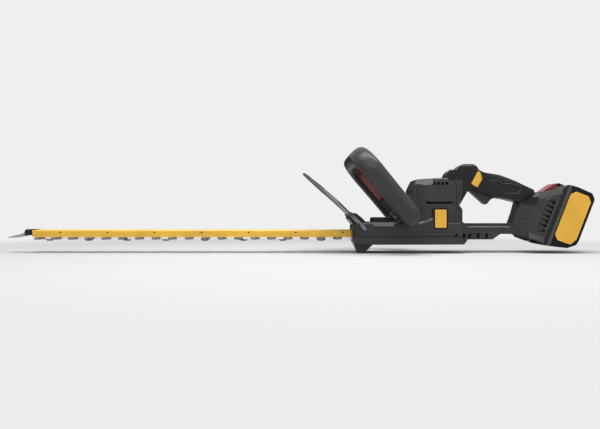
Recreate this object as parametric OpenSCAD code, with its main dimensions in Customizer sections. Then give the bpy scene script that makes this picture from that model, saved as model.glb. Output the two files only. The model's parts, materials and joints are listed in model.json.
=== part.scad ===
// Cordless hedge trimmer, built as an assembly of separate pieces.
// The blade points along -X, the battery sits at +X, Z is up and Y = 0 is the middle plane.

/* [Cutting bar] */
// Length of the guide bar in front of its root under the guard
bar_length = 617; // [400:1:760]
// Half of the width of the guide bar
bar_half = 13; // [12:0.5:16]
// Height of the guide bar
bar_height = 13.6; // [11:0.2:18]
// Wall of the guide bar
bar_wall = 2.2; // [1.6:0.1:3]
// Height of the underside of the guide bar above the ground
bar_z = 30.6; // [29.5:0.1:32]
// Thickness of each blade
blade_t = 2.1; // [1.6:0.1:2.4]
// Half of the width of the blade's spine
spine_half = 14; // [12:0.5:17]
// Distance of the tooth tips from the middle plane
tooth_reach = 38; // [30:1:46]
// Distance from tooth to tooth
tooth_pitch = 32; // [26:1:40]
// Width of a tooth at its root
tooth_root_w = 14; // [10:0.5:18]
// Width of a tooth at its tip
tooth_tip_w = 7; // [4:0.5:10]
// Width of the ground bevel along a tooth's flanks
tooth_bevel = 2.6; // [1:0.1:3]
// Travel of each blade to either side of its middle
stroke = 8; // [5:0.5:9]
// Distance between the shoulder screws that guide the blades
screw_pitch = 76.2; // [60:0.2:100]
// Radius of the guide bushes in the blade slots
bush_r = 5; // [4:0.1:6]

/* [Gear case] */
// Position of the root of the guide bar
bar_root = 104; // [90:1:120]
// Distance of the gear case's front face behind the bar's root
case_setback = 4; // [2:0.5:6]
// Half of the width of the gear case
case_half = 40; // [38:0.5:44]
// Height of the seam between gear case and bottom cover
seam_z = 32; // [31.5:0.1:33]
// Height of the top of the gear case
deck_z = 60; // [59:0.5:64]
// Position of the drive gear's axis
gear_x = 214; // [212:1:216]
// Teeth on the drive gear
gear_teeth = 60; // [50:1:62]
// Teeth on the motor pinion
pinion_teeth = 10; // [9:1:12]
// Tooth module of the gears
gear_module = 1; // [0.8:0.05:1]
// Radius of the crank's eccentric discs
cam_r = 10; // [9.5:0.1:11]
// Radius of the drive shaft
shaft_r = 5; // [4:0.1:6]

/* [Motor] */
// Radius of the motor can
can_r = 22; // [20:0.5:22.5]
// Length of the motor can
can_length = 62; // [50:1:64]
// Radius of the round barrel that covers the motor
barrel_r = 38.5; // [37:0.5:41]
// Half of the width of the motor housing
housing_half = 36; // [34:0.5:38]
// Top of the motor housing
housing_top = 143; // [140:1:150]
// Wall of the moulded shells
shell = 2.6; // [2:0.1:3]

/* [Front handle] */
// Lean of the front handle from upright
loop_lean = 40.5; // [34:0.5:44]
// Distance of a limb's centre from the middle plane
loop_half = 94; // [84:1:100]
// Height of the loop along its lean, between the centres of its bars
loop_height = 141.5; // [125:0.5:150]
// Depth of the grip's section
grip_depth = 35.4; // [30:0.2:40]
// Width of the grip's section
grip_width = 26; // [24:1:32]
// Travel of the front switch bar
switch_travel = 4; // [2:0.5:5]

/* [Hand guard] */
// Half of the width of the hand guard
guard_half = 60; // [52:1:75]
// Thickness of the hand guard
guard_t = 2.8; // [2:0.1:4]

/* [Rear handle] */
// Half of the width of the rear grip
rear_half = 18; // [16:0.5:20]
// Half of the width of the bridge under the rear grip
bridge_half = 17; // [15:0.5:19]
// Half of the width of the battery foot
foot_half = 38; // [36:0.5:40]
// Swing of the trigger in degrees
trigger_swing = 9; // [5:0.5:10]

/* [Battery] */
// Tilt of the battery from upright
pack_tilt = 21.2; // [18:0.2:24]
// Half of the width of the battery
pack_half = 39; // [37:0.5:41]
// Radius of a battery cell
cell_r = 9.15; // [8.9:0.05:9.2]
// Length of a battery cell
cell_length = 65; // [63:0.5:66]
// Wall of the battery case
pack_wall = 2.2; // [1.8:0.1:2.6]

/* [Hidden] */
$fn = 48;
fit = 0.3;             // gap between pieces that move past each other
seat = 0.15;           // gap between pieces that rest on each other
run = 0.05;            // radial clearance of a shaft in its bore
far = 2000;            // larger than the whole part

// ---------- shapes used everywhere ----------
function unit(v) = v / norm(v);
function wrap(a) = a > 180 ? a - 360 : a < -180 ? a + 360 : a;

// One rounded corner: vertex p with its neighbours a and b and the radius r.
function corner(p, a, b, r, n) =
  let(
    u = unit(a - p),
    v = unit(b - p),
    half_angle = acos(u * v) / 2,
    mid = p + unit(u + v) * r / sin(half_angle),
    from = p + u * r / tan(half_angle) - mid,
    to = p + v * r / tan(half_angle) - mid,
    start = atan2(from.y, from.x),
    sweep = wrap(atan2(to.y, to.x) - start)
  )
  [for (i = [0:n]) mid + r * [cos(start + sweep * i / n), sin(start + sweep * i / n)]];

// An outline with rounded corners: each point is [x, y] or [x, y, radius].
function soft(points, n = 4) =
  let(count = len(points))
  [for (i = [0:count - 1])
    let(
      q = points[i],
      p = [q.x, q.y],
      before = points[(i + count - 1) % count],
      after = points[(i + 1) % count]
    )
    each len(q) < 3
      ? [p]
      : corner(p, [before.x, before.y], [after.x, after.y], q[2], n)];

// A profile seen from the side, in X and Z, between two places along Y.
module side(points, y0, y1) {
  translate([0, y1, 0])
    rotate([90, 0, 0])
      linear_extrude(y1 - y0)
        polygon(points);
}

// A profile seen from the front, in Y and Z, between two places along X.
module front(points, x0, x1) {
  translate([x0, 0, 0])
    rotate([90, 0, 90])
      linear_extrude(x1 - x0)
        polygon(points);
}

// A profile seen from above, in X and Y, between two heights.
module plan(points, z0, z1) {
  translate([0, 0, z0])
    linear_extrude(z1 - z0)
      polygon(points);
}

module block(low, high) {
  translate(low)
    cube(high - low);
}

// A disc or bore along Z, Y or X between two places.
module disc(x, y, r, z0, z1) {
  translate([x, y, z0])
    cylinder(r = r, h = z1 - z0);
}

module rod_y(x, z, r, y0, y1) {
  translate([x, y1, z])
    rotate([90, 0, 0])
      cylinder(r = r, h = y1 - y0);
}

module rod_x(y, z, r, x0, x1) {
  translate([x0, y, z])
    rotate([0, 90, 0])
      cylinder(r = r, h = x1 - x0);
}

function box_outline(x0, x1, y0, y1, r) =
  soft([[x0, y0, r], [x1, y0, r], [x1, y1, r], [x0, y1, r]]);

module left_half() {
  intersection() {
    children();
    block([-far, -far, -far], [far, 0, far]);
  }
}

module right_half() {
  intersection() {
    children();
    block([-far, 0, -far], [far, far, far]);
  }
}

// ---------- cutting bar ----------
bar_front = bar_root - bar_length;
bar_back = gear_x - 44;
bar_top = bar_z + bar_height;
upper_top = bar_z - fit;
upper_bottom = upper_top - blade_t;
lower_top = upper_bottom - fit;
lower_bottom = lower_top - blade_t;
washer_t = 0.8;
washer_top = lower_bottom - fit;
head_top = washer_top - washer_t;
head_t = 2;
screw_r = 2.5;
first_screw = bar_root - 54.6;
screw_count = floor((bar_length - 54.6 - 20) / screw_pitch) + 1;
first_tooth = bar_root - 23.5;
tooth_count = floor((bar_length - 23.5 - 16) / tooth_pitch) + 1;
drain_pitch = 91.6;
drain_count = floor((bar_length - 54.5 - 10) / drain_pitch) + 1;
cap_x = bar_front - 14.4;
floor_t = 3;

function screw_x(i) = first_screw - i * screw_pitch;

module guide_bar() {
  rim = 2.4;
  color("goldenrod")
    difference() {
      front([
        [-bar_half, bar_z], [bar_half, bar_z], [bar_half, bar_top - rim],
        [bar_half - rim, bar_top], [-bar_half + rim, bar_top], [-bar_half, bar_top - rim]
      ], bar_front, bar_back);
      front([
        [-bar_half + bar_wall, bar_z + floor_t], [bar_half - bar_wall, bar_z + floor_t],
        [bar_half - bar_wall, bar_top - rim - 1], [bar_half - rim - bar_wall, bar_top - bar_wall],
        [-bar_half + rim + bar_wall, bar_top - bar_wall], [-bar_half + bar_wall, bar_top - rim - 1]
      ], bar_front - 1, bar_back + 1);
      for (i = [0:screw_count - 1])
        disc(screw_x(i), 0, screw_r + run, bar_z - 1, bar_z + floor_t + 1);
      for (i = [0:drain_count - 1])
        rod_y(bar_front + 54.5 + i * drain_pitch, bar_top - 5, 1.8, -bar_half - 1, bar_half + 1);
      for (x = bar_screw_xs)
        disc(x, 0, screw_r + run, bar_z - 1, bar_top + 1);
      rod_y(bar_front + 6, bar_z + 6.5, 2 + run, -bar_half - 1, bar_half + 1);
    }
}

bar_screw_xs = [bar_root + 22, bar_root + 44];

// Black plastic plug that closes the end of the bar and holds the nose plate.
module bar_end_cap() {
  color("dimgray")
    difference() {
      union() {
        side([
          [cap_x, bar_z + 3], [bar_front, bar_z + 3], [bar_front, bar_top + 0.5],
          [bar_front + 6.5, bar_top + 0.5], [bar_front + 6.5, bar_top + 1.2],
          [cap_x + 2, bar_top + 1.2], [cap_x, bar_top - 1]
        ], -bar_half - 0.6, bar_half + 0.6);
        block(
          [bar_front - 0.5, -bar_half + bar_wall + seat, bar_z + floor_t + seat],
          [bar_front + 12, bar_half - bar_wall - seat, bar_top - bar_wall - 1.2]
        );
      }
      block([cap_x - 1, -9 - seat, bar_z + 1], [bar_front + 13, 9 + seat, nose_strap_top + seat]);
      rod_y(bar_front + 6, bar_z + 6.5, 2 + run, -bar_half, bar_half);
      front([
        [-bar_half - 1, bar_top - 1.6], [-bar_half - 1, bar_top + 2], [-bar_half + 2.6, bar_top + 2]
      ], cap_x - 1, bar_front + 8);
      front([
        [bar_half + 1, bar_top - 1.6], [bar_half - 2.6, bar_top + 2], [bar_half + 1, bar_top + 2]
      ], cap_x - 1, bar_front + 8);
    }
}

nose_tip = bar_front - 54;
nose_strap_top = bar_z + 9;

// Steel tongue in front of the blades.
module nose_plate() {
  color("silver")
    difference() {
      intersection() {
        side([
          [nose_tip, bar_z - 1.6], [nose_tip + 2, bar_z - 2.1], [nose_tip + 18, bar_z - 1.8],
          [bar_front - 19, bar_z + 1], [bar_front - 14, bar_z + floor_t + seat],
          [bar_front + 16, bar_z + floor_t + seat], [bar_front + 16, nose_strap_top],
          [bar_front - 16, nose_strap_top], [bar_front - 19, bar_z + 6.6]
        ], -bar_half, bar_half);
        plan([
          [nose_tip, -3], [nose_tip + 3, -6], [cap_x - 3, -12], [cap_x - 0.6, -12], [cap_x - 0.6, -9],
          [bar_front + 17, -9], [bar_front + 17, 9], [cap_x - 0.6, 9], [cap_x - 0.6, 12],
          [cap_x - 3, 12], [nose_tip + 3, 6], [nose_tip, 3]
        ], 0, 100);
      }
      rod_y(bar_front + 6, bar_z + 6.5, 2 + run, -bar_half, bar_half);
    }
}

module nose_rivet() {
  color("gray")
    union() {
      rod_y(bar_front + 6, bar_z + 6.5, 2, -bar_half - 0.2, bar_half + 0.2);
      for (s = [-1, 1])
        translate([bar_front + 6, s * (bar_half + 0.6), bar_z + 6.5])
          rotate([90, 0, 0])
            cylinder(r = 3, h = 0.9, center = true);
    }
}

// One tooth in plan, pointing to +Y, with its root on the spine.
module tooth_plan(x) {
  translate([x, 0])
    polygon([
      [-tooth_root_w / 2 - 2.5, spine_half - 1], [-tooth_root_w / 2, spine_half + 2.5],
      [-tooth_tip_w / 2, tooth_reach - 1.5], [-tooth_tip_w / 2 + 1.5, tooth_reach],
      [tooth_tip_w / 2 - 1.5, tooth_reach], [tooth_tip_w / 2, tooth_reach - 1.5],
      [tooth_root_w / 2, spine_half + 2.5], [tooth_root_w / 2 + 2.5, spine_half - 1]
    ]);
}

// The wedge that grinds one flank; up is 1 for a bevel on the top face and -1 for the bottom.
module flank_wedge(x, flank, up) {
  lean = atan2((tooth_root_w - tooth_tip_w) / 2, tooth_reach - spine_half - 4);
  length = tooth_reach - spine_half + 4;
  translate([x + flank * tooth_root_w / 2, spine_half + 2.5, 0])
    rotate([0, 0, flank * lean])
      translate([0, length - 1, 0])
        rotate([90, 0, 0])
          linear_extrude(length)
            polygon([
              [flank * 0.3, -up * (blade_t / 2 - 0.4)], [flank * 1.5, -up * (blade_t / 2 - 0.4)],
              [flank * 1.5, up * (blade_t / 2 + 0.5)], [-flank * tooth_bevel, up * (blade_t / 2 + 0.5)]
            ]);
}

module blade(bottom, up) {
  back = gear_x - 20;
  ring_r = 2 * stroke + cam_r - 2;
  slot_half = stroke + fit;
  translate([0, 0, bottom + blade_t / 2])
    difference() {
      translate([0, 0, -blade_t / 2])
        linear_extrude(blade_t) {
          polygon([
            [bar_front + 4, -spine_half + 5], [bar_front + 9, -spine_half],
            [back, -spine_half], [back, spine_half],
            [bar_front + 9, spine_half], [bar_front + 4, spine_half - 5]
          ]);
          for (i = [0:tooth_count - 1], s = [0, 1])
            mirror([0, s])
              tooth_plan(first_tooth - i * tooth_pitch);
          translate([gear_x - stroke, 0])
            circle(ring_r);
          translate([gear_x + stroke, 0])
            circle(ring_r);
          translate([gear_x - stroke, -ring_r])
            square([2 * stroke, 2 * ring_r]);
        }
      for (i = [0:tooth_count - 1], s = [0, 1], flank = [-1, 1])
        mirror([0, s, 0])
          flank_wedge(first_tooth - i * tooth_pitch, flank, up);
      for (i = [0:screw_count - 1]) {
        for (e = [-1, 1])
          disc(screw_x(i) + e * slot_half, 0, bush_r + fit, -blade_t, blade_t);
        block(
          [screw_x(i) - slot_half, -bush_r - fit, -blade_t],
          [screw_x(i) + slot_half, bush_r + fit, blade_t]
        );
      }
      for (e = [-1, 1])
        disc(gear_x + e * slot_half, 0, stroke + cam_r + fit, -blade_t, blade_t);
      block(
        [gear_x - slot_half, -stroke - cam_r - fit, -blade_t],
        [gear_x + slot_half, stroke + cam_r + fit, blade_t]
      );
    }
}

module upper_blade() {
  color("darkgray")
    blade(upper_bottom, 1);
}

module lower_blade() {
  color("gray")
    blade(lower_bottom, -1);
}

module each_screw() {
  for (i = [0:screw_count - 1])
    translate([screw_x(i), 0, 0])
      children();
}

module blade_bushes() {
  color("lightgray")
    each_screw()
      difference() {
        disc(0, 0, bush_r, washer_top, bar_z);
        disc(0, 0, screw_r + run, 0, bar_z + 1);
      }
}

module blade_washers() {
  color("gray")
    each_screw()
      difference() {
        disc(0, 0, bush_r + 4, head_top, washer_top);
        disc(0, 0, screw_r + run, 0, bar_z + 1);
      }
}

module blade_screws() {
  color("black")
    each_screw()
      difference() {
        union() {
          disc(0, 0, screw_r, head_top, bar_z + floor_t + 5.5);
          translate([0, 0, head_top - head_t])
            cylinder(r1 = bush_r + 0.6, r2 = bush_r + 1.6, h = head_t);
        }
        translate([0, 0, head_top - head_t - 1])
          cylinder(r = 2.4, h = 2.4, $fn = 6);
      }
}

module blade_nuts() {
  color("silver")
    each_screw()
      difference() {
        translate([0, 0, bar_z + floor_t])
          cylinder(r = 4.6, h = 4.4, $fn = 6);
        disc(0, 0, screw_r + run, bar_z, bar_z + 20);
      }
}

module bar_screws() {
  color("black")
    for (x = bar_screw_xs)
      translate([x, 0, 0])
        difference() {
          union() {
            disc(0, 0, screw_r, bar_z + 0.2, arm_top);
            disc(0, 0, 4.5, arm_top, arm_top + 3);
          }
          translate([0, 0, arm_top + 1.2])
            cylinder(r = 2.2, h = 4, $fn = 6);
        }
}

// ---------- gear train ----------
plate_bottom = seam_z + 1;
plate_top = plate_bottom + 6.6;
gear_z = plate_top + 2.4;
gear_t = 7;
case_top = deck_z - shell - seat;
arm_bottom = bar_top + seat;
arm_top = arm_bottom + 6;
arm_front = bar_root + case_setback + 12;
pitch_r = gear_module * gear_teeth / 2;
gear_tip_r = pitch_r + 0.9 * gear_module;
pinion_pitch_r = gear_module * pinion_teeth / 2;
motor_x = gear_x + pitch_r + pinion_pitch_r;
low_bearing_r = 11;
top_bearing_r = 9.5;
top_bearing_z = case_top - 6;
cast_r = gear_tip_r + 4.5;
lobe_r = pinion_pitch_r + 13;

function involute(a) = tan(a) * 180 / PI - a;

// Half of a tooth's angle at radius r, with a little backlash.
function tooth_half(teeth, r) =
  let(
    pitch = gear_module * teeth / 2,
    base = pitch * cos(20),
    backlash = 0.1
  )
  90 / teeth - backlash / pitch * 180 / PI + involute(20) - involute(acos(min(1, base / r)));

function spur(teeth) =
  let(
    pitch = gear_module * teeth / 2,
    root = pitch - 1.25 * gear_module,
    tip = pitch + 0.9 * gear_module,
    low = max(root + 0.1, pitch * cos(20)),
    radii = [root, low, (low + tip) / 2, tip],
    halves = [for (r = radii) tooth_half(teeth, max(r, low))]
  )
  [for (i = [0:teeth - 1])
    let(mid = i * 360 / teeth)
    each concat(
      [for (k = [0:3]) radii[k] * [cos(mid - halves[k]), sin(mid - halves[k])]],
      [for (k = [3:-1:0]) radii[k] * [cos(mid + halves[k]), sin(mid + halves[k])]]
    )];

module gear_case() {
  color("slategray")
    difference() {
      union() {
        disc(gear_x, 0, cast_r, plate_top, case_top);
        disc(motor_x, 0, lobe_r, plate_top, case_top);
        block([gear_x, -lobe_r, plate_top], [motor_x, lobe_r, case_top]);
        block([arm_front, -bar_half - 3, arm_bottom], [gear_x - 20, bar_half + 3, arm_top]);
        for (s = [-1, 1])
          block(
            [arm_front, s * (bar_half + 4) - 1.5, arm_bottom - 4],
            [gear_x - 20, s * (bar_half + 4) + 1.5, arm_top + 3]
          );
      }
      disc(gear_x, 0, gear_tip_r + 1.5, plate_bottom, top_bearing_z - 1.5);
      disc(motor_x, 0, pinion_pitch_r + 3, plate_bottom, case_top + 1);
      disc(gear_x, 0, top_bearing_r + run, top_bearing_z, case_top + 1);
      disc(gear_x, 0, shaft_r + 1.5, plate_bottom, case_top);
      for (x = bar_screw_xs)
        disc(x, 0, screw_r + run, bar_z, arm_top + 1);
    }
}

module gear_plate() {
  color("silver")
    difference() {
      union() {
        disc(gear_x, 0, cast_r, plate_bottom, plate_top);
        disc(motor_x, 0, lobe_r, plate_bottom, plate_top);
        block([gear_x, -lobe_r, plate_bottom], [motor_x, lobe_r, plate_top]);
      }
      disc(gear_x, 0, low_bearing_r + run, plate_bottom + 0.6, plate_top + 1);
      disc(gear_x, 0, shaft_r + 1.5, 0, plate_top);
    }
}

module drive_gear() {
  lightening = (pitch_r + shaft_r + 4) / 2;
  color("silver")
    translate([gear_x, 0, 0])
      difference() {
        union() {
          translate([0, 0, gear_z])
            rotate([0, 0, 180 / gear_teeth])
              linear_extrude(gear_t)
                polygon(spur(gear_teeth));
          disc(0, 0, shaft_r + 3.5, plate_top + 0.4, top_bearing_z - 1.8);
        }
        disc(0, 0, shaft_r + run, 0, far);
        for (a = [0:60:300])
          rotate([0, 0, a])
            disc(lightening, 0, 5, 0, far);
      }
}

// Drive shaft with two eccentric discs, half a turn apart, one for each blade.
module crankshaft() {
  color("gainsboro")
    translate([gear_x, 0, 0])
      union() {
        disc(0, 0, shaft_r, upper_top + 1, case_top - 0.4);
        disc(0, stroke, cam_r, upper_bottom, upper_top + 1.4);
        disc(0, -stroke, cam_r, lower_bottom, upper_bottom);
      }
}

// A ball bearing: two rings and the balls between them.
module ball_bearing(x, inner, outer, z0, height, balls) {
  mid = (inner + outer) / 2;
  ball_r = min(height / 2 - 0.4, (outer - inner) * 0.3);
  translate([x, 0, z0])
    difference() {
      union() {
        difference() {
          disc(0, 0, outer, 0, height);
          disc(0, 0, inner, -1, height + 1);
          difference() {
            disc(0, 0, mid + ball_r * 0.45, -1, 0.8);
            disc(0, 0, mid - ball_r * 0.45, -2, 1.8);
          }
          difference() {
            disc(0, 0, mid + ball_r * 0.45, height - 0.8, height + 1);
            disc(0, 0, mid - ball_r * 0.45, height - 1.8, height + 2);
          }
        }
      }
    }
}

module gear_bearings() {
  color("lightsteelblue") {
    ball_bearing(gear_x, shaft_r + run, low_bearing_r, plate_bottom + 0.6, 6, 11);
    ball_bearing(gear_x, shaft_r + run, top_bearing_r, top_bearing_z, 5, 11);
  }
}

// ---------- motor ----------
can_z = case_top + seat;
can_top = can_z + can_length;
can_wall = 1.6;
motor_shaft_r = 2.5;
motor_bearing_r = 6.5;
end_cap_top = can_top + 5;
fan_z = end_cap_top + 1.2;
fan_r = can_r - 3;
fan_t = 6;

module motor_can() {
  color("gray")
    translate([motor_x, 0, 0])
      difference() {
        disc(0, 0, can_r, can_z, can_top);
        disc(0, 0, can_r - can_wall, can_z + 6.5, can_top + 1);
        difference() {
          disc(0, 0, can_r - can_wall, can_z + 2.5, can_z + 7);
          disc(0, 0, motor_bearing_r + 2, can_z, can_z + 8);
        }
        disc(0, 0, motor_bearing_r + run, can_z + 1.2, can_z + 8);
        disc(0, 0, motor_shaft_r + 1, 0, can_z + 3);
        for (a = [0:120:240])
          rotate([0, 0, a + 30])
            translate([can_r, 0, can_z + 12])
              cube([8, 9, 9], center = true);
      }
}

module motor_magnets() {
  color("dimgray")
    for (a = [0, 180])
      translate([motor_x, 0, can_z + 12])
        rotate([0, 0, a + 20])
          rotate_extrude(angle = 140)
            translate([can_r - can_wall - seat - 4, 0])
              square([4, 40]);
}

module motor_end_cap() {
  color("black")
    translate([motor_x, 0, 0])
      difference() {
        union() {
          disc(0, 0, can_r, can_top, end_cap_top);
          disc(0, 0, can_r - can_wall - seat, can_top - 4, can_top);
        }
        disc(0, 0, can_r - can_wall - 3, can_top - 5, can_top + 1);
        disc(0, 0, motor_bearing_r + run, can_top - 1, end_cap_top - 1);
        disc(0, 0, motor_shaft_r + 1, can_top, far);
        for (s = [-1, 1])
          block([-3, s * 15 - 2.5, can_top - 6], [3, s * 15 + 2.5, end_cap_top + 1]);
      }
}

module motor_rotor() {
  color("chocolate")
    translate([motor_x, 0, 0])
      difference() {
        union() {
          disc(0, 0, motor_shaft_r, plate_top + 1, fan_z + fan_t + 1);
          disc(0, 0, 14, can_z + 14, can_z + 48);
          disc(0, 0, 6, can_z + 48, can_z + 58);
        }
        for (a = [0:45:315])
          rotate([0, 0, a])
            block([9, -1.2, can_z + 13], [15, 1.2, can_z + 49]);
      }
}

module motor_pinion() {
  color("silver")
    translate([motor_x, 0, gear_z - 0.5])
      rotate([0, 0, 180])
        difference() {
          linear_extrude(gear_t + 1)
            polygon(spur(pinion_teeth));
          cylinder(r = motor_shaft_r + run, h = 60, center = true);
        }
}

module cooling_fan() {
  blades = 9;
  color("black")
    translate([motor_x, 0, 0])
      difference() {
        union() {
          disc(0, 0, fan_r, fan_z, fan_z + 1.2);
          disc(0, 0, motor_shaft_r + 3, fan_z, fan_z + fan_t);
          for (i = [0:blades - 1])
            rotate([0, 0, i * 360 / blades])
              translate([fan_r - 7.5, 0, fan_z + fan_t / 2])
                rotate([0, 0, 35])
                  cube([11, 1.4, fan_t], center = true);
        }
        disc(0, 0, motor_shaft_r + run, 0, far);
      }
}

module motor_bearings() {
  color("lightsteelblue") {
    ball_bearing(motor_x, motor_shaft_r + run, motor_bearing_r, can_z + 1.2, 5, 7);
    ball_bearing(motor_x, motor_shaft_r + run, motor_bearing_r, can_top - 1, 5, 7);
  }
}

// ---------- front handle frame ----------
loop_x = gear_x - 6.7;
loop_z = deck_z + 14.4;
grip_a = grip_depth / 2;
grip_b = grip_width / 2;
top_bend = 42;
low_bend = 24;
cross_a = grip_a - 5;
cross_b = grip_b - 1.5;
cross_end = case_half + 0.5;
loop_shell = 2.6;

// Puts its children in the handle's own frame: Z runs up along the lean, X across it.
module in_loop() {
  translate([loop_x, 0, loop_z])
    rotate([0, -loop_lean, 0])
      children();
}

function oval(a, b, n = 24, power = 0.8) =
  [for (i = [0:n - 1])
    let(t = (i + 0.5) * 360 / n)
    [a * sign(cos(t)) * pow(abs(cos(t)), power), b * sign(sin(t)) * pow(abs(sin(t)), power)]];

// One right-hand bend of the loop about the point (y, z), through 90 degrees from angle.
module bend(y, z, r, angle, a, b) {
  translate([0, y, z])
    rotate([0, 90, 0])
      rotate([0, 0, angle])
        rotate_extrude(angle = 90)
          translate([r, 0])
            polygon(oval(b, a));
}

// The closed loop with the section a by b; the cross bar at the bottom is slimmer.
// A wall is left between the two when the loop is hollowed out.
module loop_tube(a, b, ca, cb, wall) {
  for (s = [0, 1])
    mirror([0, s, 0]) {
      bend(loop_half - top_bend, loop_height - top_bend, top_bend, 90, a, b);
      bend(loop_half - low_bend, low_bend, low_bend, 0, a, b);
      translate([0, loop_half, low_bend])
        linear_extrude(loop_height - top_bend - low_bend)
          polygon(oval(a, b));
      side(oval(a, b), cross_end + wall, loop_half - low_bend);
    }
  translate([0, 0, loop_height])
    side(oval(a, b), -loop_half + top_bend, loop_half - top_bend);
  side(oval(ca, cb), -cross_end - wall, cross_end + wall);
}

module cross_seat(gap) {
  in_loop()
    side(oval(cross_a + gap, cross_b + gap), -cross_end - 2, cross_end + 2);
}

// ---------- battery frame ----------
pack_x = 471;
pack_z = 18.5;

// Puts its children in the battery's own frame: Z runs up along the pack, X away from the foot.
module in_pack() {
  translate([pack_x, 0, pack_z])
    rotate([0, pack_tilt, 0])
      children();
}

rail_y = 24;
rail_half = 3;
rail_reach = 8;
flange_half = 5.5;
flange_t = 2.6;
pack_height = 122;
rail_low = 8;
tongue_y = 15;
contact_ys = [-12.8, -9.2, 9.2, 12.8];
tongue_t = 7;

// The rail profile, as plan outlines, grown by a gap; y is the rail's middle.
module rail(y, gap, z0, z1) {
  block([-rail_reach - gap, y - rail_half - gap, z0], [1, y + rail_half + gap, z1]);
  block(
    [-rail_reach - gap, y - flange_half - gap, z0],
    [-rail_reach + flange_t + gap, y + flange_half + gap, z1]
  );
}

// ---------- housing ----------
case_front = bar_root + case_setback;
housing_back = 318.3;
case_back = 328.5;
bridge_top = 57;
foot_front = 419.9;

// Side profile that shapes the front and the top of the motor housing.
motor_profile = soft([
  [gear_x - 7, deck_z - 4], [gear_x - 7, 96, 8], [gear_x + 7.5, 112, 8], [gear_x + 8.5, 122, 4],
  [gear_x + 17, housing_top - 1.5, 4], [motor_x + 4, housing_top, 4],
  [housing_back, housing_top + 2], [housing_back, 122.7], [housing_back - 6.5, 91, 3],
  [housing_back - 0.5, 84, 3], [housing_back - 0.5, deck_z - 4]
]);

module barrel() {
  intersection() {
    disc(motor_x, 0, barrel_r, deck_z - 2, housing_top - 1.5);
    side(motor_profile, -barrel_r, barrel_r);
  }
}

module motor_block() {
  intersection() {
    side(motor_profile, -housing_half, housing_half);
    plan(soft([
      [gear_x - 8, -housing_half, 20], [housing_back + 1, -housing_half, 5],
      [housing_back + 1, housing_half, 5], [gear_x - 8, housing_half, 20]
    ]), 0, far);
    front(soft([
      [-housing_half - 0.01, 0], [housing_half + 0.01, 0],
      [housing_half + 0.01, housing_top + 3, 9], [-housing_half - 0.01, housing_top + 3, 9]
    ]), 0, far);
  }
}

case_outline = soft([
  [case_front, -case_half, 12], [case_back - 16, -case_half, 10],
  [case_back + 8, -bridge_half - 8], [case_back + 8, bridge_half + 8],
  [case_back - 16, case_half, 10], [case_front, case_half, 12]
]);

module lower_block() {
  intersection() {
    side(soft([
      [case_front, seam_z], [case_front, deck_z - 6, 3], [bar_root + 26, deck_z, 6],
      [gear_x + 16, deck_z], [case_back, bridge_top], [case_back, seam_z]
    ]), -case_half, case_half);
    plan(case_outline, 0, far);
    front(soft([
      [-case_half - 0.01, 0], [case_half + 0.01, 0],
      [case_half + 0.01, deck_z + 0.01, 6], [-case_half - 0.01, deck_z + 0.01, 6]
    ]), 0, far);
  }
}

module bridge() {
  side(soft([
    [case_back - 25, bridge_top], [case_back - 25, 25.6], [381, 25.6, 4], [396, 36.2, 4],
    [440, 36.2], [440, bridge_top]
  ]), -bridge_half, bridge_half);
}

module foot_block() {
  intersection() {
    side(soft([
      [foot_front, bridge_top - 1], [434.9, 97.4, 2], [440, 99, 3], [459.5, 116.5, 3],
      [482, 119, 2], [495, 121.5, 2], [506.5, 129.2, 2], [512.6, 131.8, 1], [513.6, 130.4],
      [470.6, 19.3], [425, 32.8, 2], [423.4, 36.2, 1], [foot_front + 1, 36.2]
    ]), -foot_half, foot_half);
    plan(soft([
      [foot_front - 1, -bridge_half], [foot_front + 8, -bridge_half - 1, 6],
      [foot_front + 34, -foot_half, 12], [far, -foot_half], [far, foot_half],
      [foot_front + 34, foot_half, 12], [foot_front + 8, bridge_half + 1, 6],
      [foot_front - 1, bridge_half]
    ]), 0, far);
    // large chamfers along the shoulders
    translate([459.5, 0, 117])
      rotate([0, -14, 0])
        front([
          [-foot_half, -far], [foot_half, -far], [foot_half, -9], [foot_half - 7, 0],
          [-foot_half + 7, 0], [-foot_half, -9]
        ], -100, 100);
  }
}

plate_x0 = motor_x + 12;
plate_x1 = plate_x0 + 28;
plate_z0 = 46;
plate_z1 = 86;

module plate_pads() {
  for (s = [-1, 1])
    block(
      [plate_x0, s * (case_half - 3) - 3.6, plate_z0],
      [plate_x1, s * (case_half - 3) + 3.6, plate_z1]
    );
  // ramps that lead from the deck up to the pads
  for (s = [-1, 1])
    side(
      [
        [plate_x0 - 27, deck_z - 4], [plate_x0 - 27, deck_z - 2.6],
        [plate_x0 + 1, deck_z + 6.6], [plate_x0 + 1, deck_z - 4]
      ],
      s > 0 ? housing_half - 1 : -case_half + 0.4, s > 0 ? case_half - 0.4 : -housing_half + 1
    );
  // rounded foot of the motor housing's back
  difference() {
    block([housing_back - 2, -housing_half + 5, bridge_top - 2], [housing_back + 5, housing_half - 5, 63.4]);
    rod_y(housing_back + 5.2, 63.4, 5.6, -far, far);
  }
}

// Shallow ventilation panels on both sides of the foot.
module foot_panels() {
  in_pack()
    for (s = [-1, 1]) {
      block_side(soft([
        [-22, 18, 2], [-6.4, 20, 2], [-6.4, 83, 3], [-12, 86, 3], [-20.5, 80, 3]
      ]), s, foot_half, 0.8);
      for (i = [0:6])
        block_side([
          [-17.5, 24 + i * 8], [-10, 25 + i * 8], [-10, 29.4 + i * 8], [-17.5, 28.4 + i * 8]
        ], s, foot_half, 2.2);
    }
}

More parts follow.
